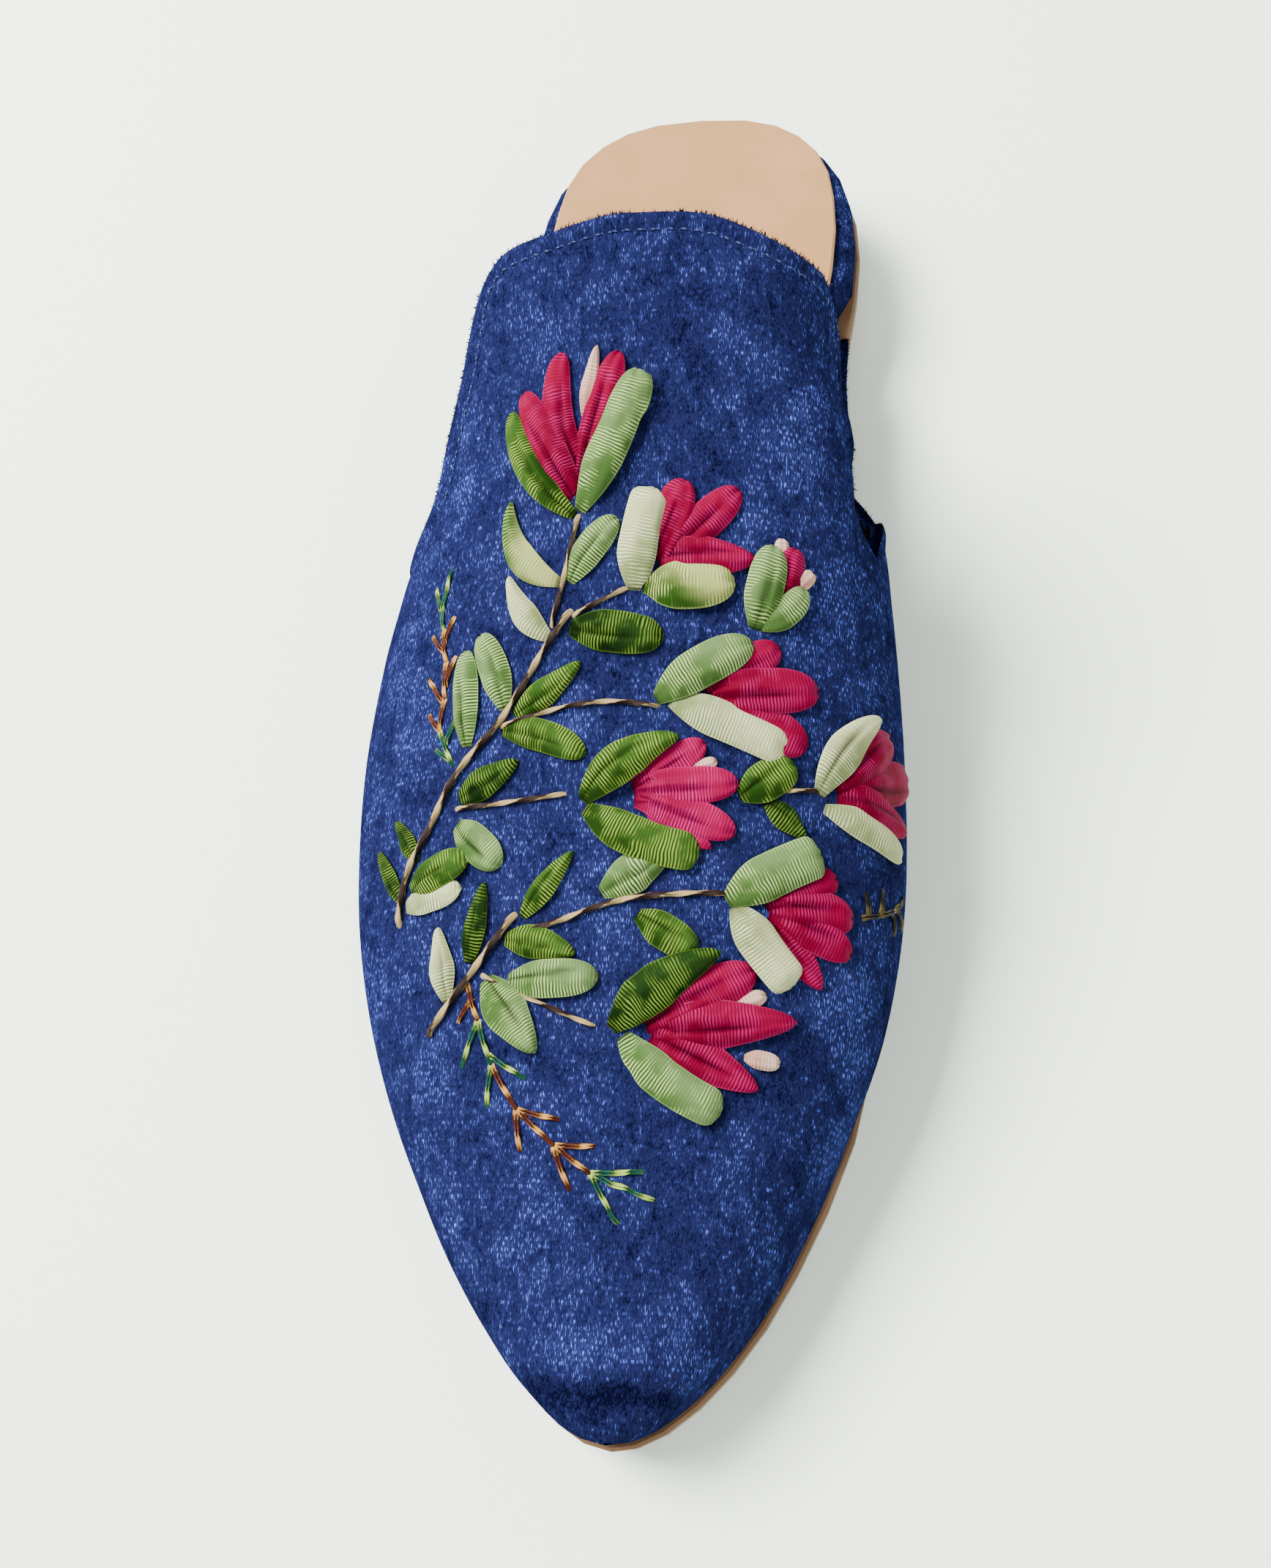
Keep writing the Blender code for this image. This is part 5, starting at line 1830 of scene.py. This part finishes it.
# Blossoms, each from its lowest ribbon to its uppermost.
BLOSSOMS: dict[str, tuple[Ribbon, ...]] = {
    "blossom_tall": (
        Ribbon((-9.7, 20.5), (-7.3, 31.4), 2.8, Dye.BLUSH),
        Petal((-10.4, 13.0), (-13.2, 31.0), 5.1, bow=0.12),
        Petal((-10.1, 11.5), (-3.8, 30.2), 5.3, pleats=2),
        Petal((-11.0, 8.5), (-20.2, 26.0), 5.3, puff=1.4, pleats=1),
        Ribbon((-11.0, 5.6), (-22.3, 23.6), 4.6, Dye.MID_GREEN, Tip.ROUND, bow=0.10, puff=1.5, crease=0.8),
        Ribbon((-10.6, 6.2), (-0.6, 27.2), 6.2, Dye.PALE_GREEN, Tip.ROUND, bow=-0.04, puff=1.9),
    ),
    "blossom_upper": (
        Petal((3.4, -1.5), (15.2, 9.0), 5.7, puff=1.1, pleats=1),
        Petal((1.6, -1.6), (6.8, 10.4), 6.2, pleats=2),
        Petal((2.2, -1.4), (17.8, -1.4), 6.6, end=Tip.POINT, puff=1.3, pleats=1),
        Ribbon((-1.4, -6.2), (1.6, 9.2), 6.4, Dye.CREAM, Tip.SQUARE, bow=0.04, puff=1.8),
        Ribbon((-0.2, -5.2), (14.4, -4.8), 7.2, Dye.GREEN_CREAM, Tip.ROUND, bow=-0.04, puff=1.9),
    ),
    "blossom_bud": (
        Ribbon((21.8, -1.4), (21.8, 2.4), 2.4, Dye.BLUSH, Tip.ROUND, puff=0.8),
        Ribbon((24.0, -4.9), (26.9, -1.9), 2.4, Dye.BLUSH, Tip.ROUND, puff=0.8),
        Petal((21.9, -6.4), (24.0, 1.2), 4.2, puff=1.0, pleats=1),
        Ribbon((18.2, -11.2), (25.3, -4.6), 4.2, Dye.PALE_GREEN, Tip.ROUND, bow=-0.10, puff=1.3),
        Ribbon((17.5, -11.7), (20.5, 1.0), 5.8, Dye.PALE_GREEN, Tip.ROUND, puff=1.7, crease=0.6),
    ),
    "blossom_middle": (
        Petal((9.5, -20.8), (21.5, -14.0), 5.5, pleats=1),
        Petal((11.0, -22.8), (25.8, -28.3), 7.0, pleats=1),
        Petal((10.4, -21.8), (27.6, -19.6), 6.8, puff=1.4, pleats=2),
        Ribbon((4.2, -22.4), (22.6, -29.2), 6.2, Dye.CREAM, Tip.SQUARE, puff=1.7),
        Ribbon((2.0, -22.6), (17.2, -13.8), 6.2, Dye.PALE_GREEN, Tip.ROUND, bow=0.03, puff=2.0),
    ),
    "blossom_left": (
        Ribbon((7.5, -33.4), (12.0, -31.4), 2.2, Dye.BLUSH, Tip.ROUND, puff=0.8),
        Petal((-1.0, -36.0), (10.1, -28.8), 4.8, dye=Dye.ROSE, puff=0.9, pleats=1),
        Petal((1.0, -37.6), (11.6, -44.4), 4.8, dye=Dye.ROSE, end=Tip.POINT, puff=0.9, pleats=1),
        Petal((-1.0, -36.2), (15.3, -34.6), 5.7, dye=Dye.ROSE, pleats=2),
        Petal((-0.4, -36.8), (15.1, -42.0), 5.5, dye=Dye.ROSE, pleats=1),
        Ribbon((-8.6, -38.6), (9.8, -45.2), 6.4, Dye.MID_GREEN, Tip.SQUARE, bow=-0.07, puff=1.7),
        Ribbon((-9.0, -37.8), (6.2, -28.0), 6.4, Dye.MID_GREEN, bow=0.08, puff=1.9, crease=0.5),
    ),
    "blossom_inner": (
        Petal((32.5, -33.4), (50.5, -26.0), 6.6, puff=1.1, pleats=2),
        Petal((30.4, -33.2), (43.2, -22.0), 5.9, pleats=1),
        Petal((31.0, -34.4), (46.6, -35.8), 6.4, end=Tip.POINT, puff=1.3, pleats=1),
        Ribbon((28.8, -36.6), (44.8, -40.2), 4.8, Dye.CREAM, Tip.ROUND, puff=1.4),
        Ribbon((28.0, -34.9), (38.8, -20.6), 5.6, Dye.CREAM, bow=0.08, puff=1.6, crease=0.4),
    ),
    "blossom_right": (
        Petal((19.6, -51.6), (31.2, -46.6), 5.3, puff=1.1, pleats=1),
        Petal((20.6, -54.0), (29.0, -63.2), 5.7, end=Tip.POINT, puff=1.1, pleats=1),
        Petal((20.4, -52.4), (33.9, -52.0), 6.4, puff=1.3, pleats=2),
        Petal((20.6, -53.2), (33.6, -57.4), 5.7, pleats=1),
        Ribbon((15.4, -52.4), (24.4, -63.4), 6.6, Dye.CREAM, Tip.SQUARE, bow=-0.03, puff=1.7),
        Ribbon((14.0, -52.0), (28.2, -43.6), 7.0, Dye.PALE_GREEN, Tip.SQUARE, bow=0.02, puff=2.0),
    ),
    "blossom_low": (
        Ribbon((13.5, -68.0), (20.6, -65.0), 2.8, Dye.BLUSH, Tip.ROUND, puff=0.9),
        Ribbon((17.5, -74.3), (23.0, -74.7), 2.8, Dye.BLUSH, Tip.ROUND, puff=0.9),
        Petal((2.2, -70.8), (18.7, -61.6), 6.8, pleats=2),
        Petal((3.4, -71.8), (19.9, -78.8), 6.8, end=Tip.POINT, pleats=2),
        Petal((3.2, -71.2), (25.2, -68.4), 7.3, end=Tip.POINT, puff=1.5, pleats=2),
        Ribbon((-0.9, -72.2), (14.6, -82.4), 6.4, Dye.PALE_GREEN, Tip.SQUARE, bow=-0.07, puff=1.7),
        Ribbon((-2.7, -71.6), (13.6, -59.4), 7.0, Dye.DARK_GREEN, bow=0.06, puff=1.9),
    ),
}

# Leaves of one ribbon each.
LEAVES: dict[str, Ribbon] = {
    "leaf_01": Leaf((-13.4, -4.4), (-22.4, 9.6), 4.9, Dye.CREAM_GREEN, bow=0.20, crease=0.0),
    "leaf_02": Leaf((-12.1, -4.6), (-4.1, 5.0), 5.0, Dye.PALE_GREEN, Tip.ROUND, bow=0.04, puff=1.3),
    "leaf_03": Leaf((-14.9, -12.9), (-22.5, -2.4), 4.3, Dye.CREAM, bow=0.10, puff=1.3, crease=0.0),
    "leaf_04": Leaf((-12.2, -11.4), (3.3, -13.2), 6.4, Dye.DARK_GREEN, Tip.ROUND, puff=1.5, crease=0.7),
    "leaf_05": Leaf((-22.6, -23.4), (-27.7, -11.0), 5.2, Dye.PALE_GREEN, Tip.ROUND, bow=-0.05, puff=1.5),
    "leaf_06": Leaf((-29.3, -28.6), (-30.2, -13.0), 4.9, Dye.PALE_GREEN, Tip.ROUND, crease=0.5),
    "leaf_07": Leaf((-21.2, -24.2), (-9.9, -16.6), 4.5, Dye.MID_GREEN, bow=-0.04, puff=1.3, crease=0.5),
    "leaf_08": Leaf((-23.2, -26.4), (-8.8, -30.8), 4.9, Dye.MID_GREEN, Tip.ROUND, bow=0.06),
    "leaf_09": Leaf((-30.4, -36.4), (-19.8, -31.2), 5.2, Dye.DARK_GREEN, bow=-0.03, puff=1.3, crease=0.5),
    "leaf_10": Leaf((-30.4, -40.2), (-21.8, -47.2), 5.6, Dye.PALE_GREEN, Tip.ROUND),
    "leaf_11": Leaf((15.6, -36.6), (24.0, -30.8), 5.9, Dye.MID_GREEN, Tip.ROUND, puff=1.5),
    "leaf_12": Leaf((19.6, -36.8), (26.0, -41.5), 4.0, Dye.DARK_GREEN, puff=1.1, crease=0.3),
    "leaf_13": Leaf((-37.4, -45.6), (-42.6, -38.2), 3.1, Dye.DARK_GREEN, puff=1.0, crease=0.3),
    "leaf_14": Leaf((-40.2, -51.8), (-46.4, -42.4), 3.0, Dye.DARK_GREEN, puff=1.0, crease=0.3),
    "leaf_15": Leaf((-39.6, -52.4), (-28.6, -50.2), 4.7, Dye.CREAM, Tip.ROUND, puff=1.0, crease=0.0),
    "leaf_16": Leaf((-38.2, -50.4), (-27.4, -45.8), 5.4, Dye.MID_GREEN, Tip.ROUND, bow=0.05, lift=0.6),
    "leaf_17": Leaf((-17.9, -55.2), (-10.0, -45.2), 3.9, Dye.MID_GREEN, puff=1.2, crease=0.5),
    "leaf_18": Leaf((-5.4, -51.6), (6.2, -44.2), 6.0, Dye.PALE_GREEN, puff=1.5, crease=0.5),
    "leaf_19": Leaf((0.2, -54.4), (10.0, -59.6), 5.4, Dye.MID_GREEN, Tip.ROUND),
    "leaf_20": Leaf((-26.4, -62.0), (-24.3, -49.6), 4.0, Dye.DARK_GREEN, puff=1.3, crease=0.5),
    "leaf_21": Leaf((-29.8, -67.6), (-32.2, -56.0), 4.4, Dye.CREAM, crease=0.3),
    "leaf_22": Leaf((-20.8, -58.4), (-8.8, -60.6), 5.1, Dye.MID_GREEN, bow=0.05, puff=1.3, crease=0.3),
    "leaf_23": Leaf((-19.7, -64.6), (-5.0, -63.8), 5.8, Dye.PALE_GREEN, Tip.ROUND, lift=0.5),
    "leaf_24": Leaf((-23.4, -64.0), (-14.2, -75.2), 7.0, Dye.PALE_GREEN, puff=1.7),
}


@dataclass
class RibbonWork:
    """Every ribbon stitch on the vamp."""

    groups: Groups
    packed: Sequence[str]

    def __post_init__(self) -> None:
        """Makes one material for each dye."""
        self.materials = {dye: RibbonFinish(dye).make(self.groups) for dye in Dye}

    def join(self, name: str, ribbons: Sequence[Ribbon]) -> bpy.types.Object:
        """Joins ribbons, each a little higher than the one below.

        Args:
            name: The object's name.
            ribbons: The ribbons from the lowest to the uppermost.

        Returns:
            The object.
        """
        dyes = list(dict.fromkeys(ribbon.dye for ribbon in ribbons))
        points, faces, slots, maps = [], [], [], []
        count = 0
        for layer, ribbon in enumerate(ribbons):
            new_points, new_faces, new_maps = ribbon.mesh(layer)
            points.append(new_points)
            faces += [tuple(count + i for i in face) for face in new_faces]
            slots += [dyes.index(ribbon.dye)] * len(new_faces)
            maps.append(new_maps)
            count += len(new_points)
        joined = {key: np.concatenate([each[key] for each in maps]) for key in maps[0]}
        materials = [self.materials[dye] for dye in dyes]
        return make_object(name, np.concatenate(points), faces, materials, np.array(slots), joined)

    def build(self) -> None:
        """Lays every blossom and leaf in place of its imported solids."""
        for name, ribbons in BLOSSOMS.items():
            flower = self.join("ribbon_" + name, ribbons)
            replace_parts(flower, *[node for node in self.packed if node.startswith(name + "_")])
        for name, ribbon in LEAVES.items():
            leaf = self.join("ribbon_" + name, [ribbon])
            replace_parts(leaf, name)


@dataclass(frozen=True)
class Stem:
    """A thread laid over the velvet through places given as girth and y."""

    route: tuple[Point, ...]
    thickness: float = 0.9


STEMS: dict[str, Stem] = {
    "stem_main": Stem(((-10.6, 5.8), (-12.8, -3.5), (-14.9, -11.0))),
    "stem_long": Stem(
        (
            (-11.7, -8.8), (-17.6, -17.0), (-23.4, -25.2), (-31.1, -33.0),
            (-35.6, -41.0), (-39.0, -46.5), (-40.6, -55.0),
        ),
        1.15,
    ),
    "stem_upper": Stem(((-11.3, -9.6), (-2.6, -5.7))),
    "stem_middle": Stem(((-23.2, -25.8), (-15.0, -24.0), (-6.5, -22.8), (2.6, -23.4))),
    "stem_left": Stem(((-30.6, -37.9), (-21.0, -37.6), (-11.8, -36.6))),
    "stem_inner": Stem(((23.0, -34.9), (28.0, -34.2)), 0.8),
    "stem_low": Stem(((-19.0, -54.6), (-24.8, -62.2), (-33.0, -72.4)), 1.2),
    "stem_right": Stem(((-18.8, -57.6), (-11.0, -55.4), (-4.2, -53.0), (5.0, -51.4), (13.8, -50.8)), 1.0),
    "stem_bottom": Stem(((-24.0, -63.6), (-15.6, -67.2), (-5.4, -71.0))),
}


class Glitter(Enum):
    """Glittering threads as (first, second) colour."""

    GREEN = ((0.003, 0.042, 0.024), (0.240, 0.340, 0.050))
    COPPER = ((0.050, 0.009, 0.004), (0.400, 0.190, 0.045))
    BRONZE = ((0.004, 0.003, 0.003), (0.085, 0.060, 0.018))


@dataclass(frozen=True)
class Sprig:
    """A spine of straight stitches with short side stitches, sewn in two threads.

    A side stitch is given as girth and y of its start, then of its end. The second thread is used
    where a stitch's middle lies in one of the bands of y.
    """

    spine: tuple[Point, ...]
    twigs: tuple[tuple[float, float, float, float], ...]
    first: Glitter
    second: Glitter
    second_bands: tuple[Span, ...] = ()

    def stitches(self) -> list[tuple[Point, Point]]:
        """Start and end of every stitch."""
        spine = list(zip(self.spine, self.spine[1:]))
        return spine + [(twig[:2], twig[2:]) for twig in self.twigs]

    def in_second(self, y: float) -> bool:
        """Whether a stitch with its middle at y is sewn in the second thread."""
        return any(low < y < high for low, high in self.second_bands)


SPRIGS: dict[str, Sprig] = {
    "sprig_toe": Sprig(
        ((-26.5, -64.8), (-24.2, -70.4), (-21.4, -77.0), (-16.6, -83.6), (-10.2, -88.6), (-4.4, -92.3)),
        (
            (-25.4, -67.0, -27.6, -70.6), (-24.2, -70.4, -26.4, -77.4),
            (-22.2, -75.4, -15.6, -79.0), (-21.4, -77.0, -21.6, -83.2), (-16.6, -83.6, -9.8, -84.8),
            (-16.8, -83.6, -15.6, -89.6), (-10.2, -88.6, -4.0, -88.4), (-10.4, -88.8, -7.4, -94.8),
            (-4.4, -92.3, 3.6, -91.6), (-4.4, -92.3, 5.4, -95.6), (-4.4, -92.3, 0.2, -99.0),
        ),
        Glitter.GREEN,
        Glitter.COPPER,
        ((-70.0, -60.0), (-91.9, -80.2)),
    ),
    "sprig_outer": Sprig(
        ((-36.4, -4.0), (-35.6, -8.5), (-34.6, -14.0), (-34.4, -20.0), (-35.0, -25.0), (-31.8, -31.0)),
        (
            (-36.2, -5.6, -38.2, -0.8), (-36.2, -5.2, -34.6, 1.4), (-35.2, -11.0, -33.4, -6.8),
            (-35.2, -12.2, -38.2, -9.0), (-34.4, -18.0, -32.6, -13.4), (-34.6, -20.6, -38.2, -16.0),
            (-35.0, -25.0, -37.6, -22.0), (-33.6, -27.6, -31.8, -23.6),
            (-32.4, -30.0, -35.6, -28.0),
        ),
        Glitter.GREEN,
        Glitter.COPPER,
        ((-24.5, -8.5),),
    ),
    "sprig_inner": Sprig(
        ((36.0, -51.4), (40.0, -50.0), (45.0, -47.6), (49.0, -44.6)),
        (
            (37.4, -50.8, 36.6, -47.4), (40.0, -50.0, 40.6, -46.0), (43.0, -48.6, 45.0, -51.6),
            (45.0, -47.6, 49.6, -49.4),
        ),
        Glitter.BRONZE,
        Glitter.BRONZE,
    ),
}


@dataclass
class Needlework:
    """Stems of twisted thread and sprigs of glittering thread."""

    groups: Groups
    sides: int = 10
    plies: int = 2
    ply_relief: float = 0.12
    spacing: float = 0.35
    fewest_steps: int = 4
    pitch: float = 9.0
    end_length: float = 1.2
    lift: float = 0.55
    end_sink: float = 0.25
    stem_dark: Colour = (0.014, 0.006, 0.004)
    stem_light: Colour = (0.280, 0.200, 0.090)
    stem_cover: float = 0.46
    strand: float = 0.5
    strand_offset: float = 0.27
    strand_closing: float = 0.6
    glitter_pitch: float = 4.6
    glitter_cover: float = 0.36
    glitter_metal: float = 0.3
    glitter_roughness: float = 0.4

    def tube(self, route: Table, thickness: float) -> tuple[np.ndarray, Faces, np.ndarray]:
        """A thread laid over the velvet, its ends sunk into it.

        Args:
            route: Girth and y of points on the way.
            thickness: The thread's thickness.

        Returns:
            Points, faces and thread coordinates.
        """
        length = float(np.sum(np.linalg.norm(np.diff(np.array(route), axis=0), axis=1)))
        count = max(int(length / self.spacing), self.fewest_steps)
        if len(route) > 2:
            way = smooth_curve(route, count + 1, closed=False)
        else:
            way = np.linspace(*route, count + 1)
        share = np.linspace(0, 1, count + 1)
        sunk = np.clip(np.minimum(share, 1 - share) * length / self.end_length, 0, 1)
        height = thickness * (self.lift * np.sqrt(sunk) - self.end_sink * (1 - sunk))
        centre = FORM.at_girth(way[:, 0], way[:, 1], height)
        above = FORM.at_girth(way[:, 0], way[:, 1], height + 1.0) - centre
        ahead = unit(np.gradient(centre, axis=0))
        side = unit(np.cross(ahead, above))
        above = np.cross(side, ahead)
        angles = np.linspace(0, 2 * np.pi, self.sides + 1)
        turn = share[:, None] * length / self.pitch * 2 * np.pi
        ply = 1 - self.ply_relief + self.ply_relief * np.cos(self.plies * (angles[None] - turn))
        radius = thickness / 2 * ply
        across = side[:, None] * (np.cos(angles) * radius)[..., None]
        points = centre[:, None] + across + above[:, None] * (np.sin(angles) * radius)[..., None]
        row = self.sides + 1
        faces = [
            (i * row + j, i * row + j + 1, (i + 1) * row + j + 1, (i + 1) * row + j)
            for i in range(count)
            for j in range(self.sides)
        ]
        around = np.broadcast_to(angles / (2 * np.pi), (count + 1, row))
        coords = np.stack([around, np.broadcast_to(-share[:, None] * length, around.shape)], axis=-1)
        return points.reshape(-1, 3), faces, coords.reshape(-1, 2) / UV_SCALE

    def build_stems(self) -> None:
        """Builds the stems of brown and cream thread."""
        finish = ThreadFinish("stem_thread", self.stem_dark, self.stem_light, self.pitch, self.stem_cover)
        thread = finish.make(self.groups)
        for name, stem in STEMS.items():
            points, faces, coords = self.tube(stem.route, stem.thickness)
            make_object(name, points, faces, [thread], None, {"thread": coords})

    def glitter_threads(self) -> dict[Glitter, bpy.types.Material]:
        """One material for each glittering thread."""
        measures = (self.glitter_pitch, self.glitter_cover, self.glitter_metal, self.glitter_roughness)
        threads = {}
        for glitter in Glitter:
            finish = ThreadFinish(glitter.name.lower() + "_glitter", *glitter.value, *measures)
            threads[glitter] = finish.make(self.groups)
        return threads

    def build_sprigs(self) -> None:
        """Builds the sprigs, every stitch of which is two strands side by side."""
        threads = self.glitter_threads()
        for name, sprig in SPRIGS.items():
            points, faces, slots, coords, count = [], [], [], [], 0
            for start, end in sprig.stitches():
                ahead = np.subtract(end, start)
                aside = np.array([-ahead[1], ahead[0]]) / np.linalg.norm(ahead) * self.strand_offset
                slot = int(sprig.in_second((start[1] + end[1]) / 2))
                for offset in (aside, -aside):
                    route = (start + offset, end + offset * self.strand_closing)
                    new_points, new_faces, new_coords = self.tube(route, self.strand)
                    points.append(new_points)
                    faces += [tuple(count + i for i in face) for face in new_faces]
                    slots += [slot] * len(new_faces)
                    coords.append(new_coords)
                    count += len(new_points)
            materials = [threads[sprig.first], threads[sprig.second]]
            maps = {"thread": np.concatenate(coords)}
            make_object(name, np.concatenate(points), faces, materials, np.array(slots), maps)


@dataclass(frozen=True)
class Lamp:
    """A soft square lamp; places and size are in metres."""

    name: str
    place: Place
    size: float
    power: float
    colour: Colour
    target: Place = (0.0, 0.0, 0.02)

    def build(self) -> None:
        """Hangs the lamp and aims it at its target."""
        data = bpy.data.lights.new(self.name, "AREA")
        data.size = self.size
        data.energy = self.power
        data.color = self.colour
        lamp = bpy.data.objects.new(self.name, data)
        ahead = (Vector(self.target) - Vector(self.place)).normalized()
        lamp.location = self.place
        lamp.rotation_euler = ahead.to_track_quat("-Z", "Y").to_euler()
        bpy.context.scene.collection.objects.link(lamp)


@dataclass
class Studio:
    """Plain floor, soft light and the photo's camera, which stands above the toe.

    The camera's places are in millimetres.
    """

    place: Place = (45.5, -129.0, 253.5)
    look_at: Place = (5.6, -36.0, 46.3)
    roll: float = 5.37
    focal_pixels: float = 2050.0
    image_height: float = 2142.0
    sensor: float = 36.0
    nearest: float = 10.0
    floor_reach: float = 1500.0
    floor_colour: Colour = (0.84, 0.93, 0.82)
    floor_roughness: float = 0.75
    floor_specular: float = 0.1
    sky_colour: Colour = (0.93, 0.97, 0.95)
    lamps: tuple[Lamp, ...] = (
        Lamp("window", (-0.75, 0.25, 1.1), 0.7, 80.0, (1.0, 0.99, 0.97)),
        Lamp("fill", (0.5, -0.9, 1.2), 1.4, 15.0, (0.96, 0.98, 1.0)),
    )

    def camera(self) -> None:
        """Places the camera at the photo's angle to the shoe."""
        data = bpy.data.cameras.new("photo_camera")
        data.sensor_width = self.sensor
        data.lens = self.sensor * self.focal_pixels / self.image_height
        data.clip_start = self.nearest * MM
        camera = bpy.data.objects.new("photo_camera", data)
        place, target = Vector(self.place) * MM, Vector(self.look_at) * MM
        ahead = (target - place).normalized()
        right = ahead.cross(Vector((0, 1, 0))).normalized()
        up = right.cross(ahead)
        frame = Matrix((right, up, -ahead)).transposed()
        turn = Quaternion(ahead, -math.radians(self.roll))
        camera.matrix_world = Matrix.Translation(place) @ (turn.to_matrix() @ frame).to_4x4()
        bpy.context.scene.collection.objects.link(camera)
        bpy.context.scene.camera = camera

    def floor(self) -> None:
        """Lays a wide pale floor."""
        shader = Shader("floor", self.floor_roughness, self.floor_specular)
        shader.set(Base_Color=rgba(self.floor_colour))
        mesh = bpy.data.meshes.new("floor")
        reach = self.floor_reach * MM
        corners = [(-reach, -reach, 0), (reach, -reach, 0), (reach, reach, 0), (-reach, reach, 0)]
        mesh.from_pydata(corners, [], [(0, 1, 2, 3)])
        mesh.materials.append(shader.material)
        obj = bpy.data.objects.new("floor", mesh)
        bpy.context.scene.collection.objects.link(obj)

    def sky(self) -> None:
        """Sets an even pale light from all around."""
        world = bpy.context.scene.world or bpy.data.worlds.new("studio")
        bpy.context.scene.world = world
        world.use_nodes = True
        background = world.node_tree.nodes.get("Background")
        background.inputs["Color"].default_value = rgba(self.sky_colour)
        background.inputs["Strength"].default_value = 1.0

    def build(self) -> None:
        """Builds everything that isn't the shoe."""
        self.camera()
        self.floor()
        for lamp in self.lamps:
            lamp.build()
        self.sky()


# The leather of each solid of the sole.
LEATHERS: dict[str, LeatherFinish] = {
    "outsole": LeatherFinish("sole_leather", (0.115, 0.060, 0.028), (0.160, 0.088, 0.044)),
    "heel_block": LeatherFinish("heel_leather", (0.250, 0.125, 0.070), (0.300, 0.155, 0.090)),
    "heel_top_piece": LeatherFinish("top_piece", (0.040, 0.042, 0.033), (0.060, 0.058, 0.045)),
    "insole_sock": LeatherFinish(
        "sock_leather", (0.330, 0.170, 0.070), (0.370, 0.195, 0.085), grain=2200.0, bump=0.04
    ),
}


@dataclass
class Sole:
    """Finishes of the outsole, heel and insole, whose solids stay as packed."""

    groups: Groups
    nodes: dict[str, bpy.types.Object]

    def dress(self, name: str, material: bpy.types.Material) -> None:
        """Gives one solid its material.

        Args:
            name: The solid's node.
            material: The material of its whole surface.
        """
        obj = self.nodes[name]
        if obj.material_slots:
            for slot in obj.material_slots:
                slot.material = material
        else:
            obj.data.materials.append(material)
        LOG.info("%s: %s", name, material.name)

    def build(self) -> None:
        """Dresses every solid of the sole."""
        for name, finish in LEATHERS.items():
            self.dress(name, finish.make(self.groups))
        self.dress("insole_board", VelvetFinish("rim_velvet").make(self.groups, from_uv=False))


def main() -> None:
    """Builds every piece in order."""
    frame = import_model()
    Studio().build()
    groups = Groups()
    velvet = VelvetFinish().make(groups)
    upper = Upper()
    upper.build(velvet, LiningFinish().make(groups))
    ToplinePile(upper).build(velvet)
    HemSeam(upper).build(groups)
    RibbonWork(groups, list(frame["nodes"])).build()
    needlework = Needlework(groups)
    needlework.build_stems()
    needlework.build_sprigs()
    Sole(groups, frame["nodes"]).build()


if __name__ == "__main__":
    logging.basicConfig(level=logging.INFO, format="%(message)s")
    main()
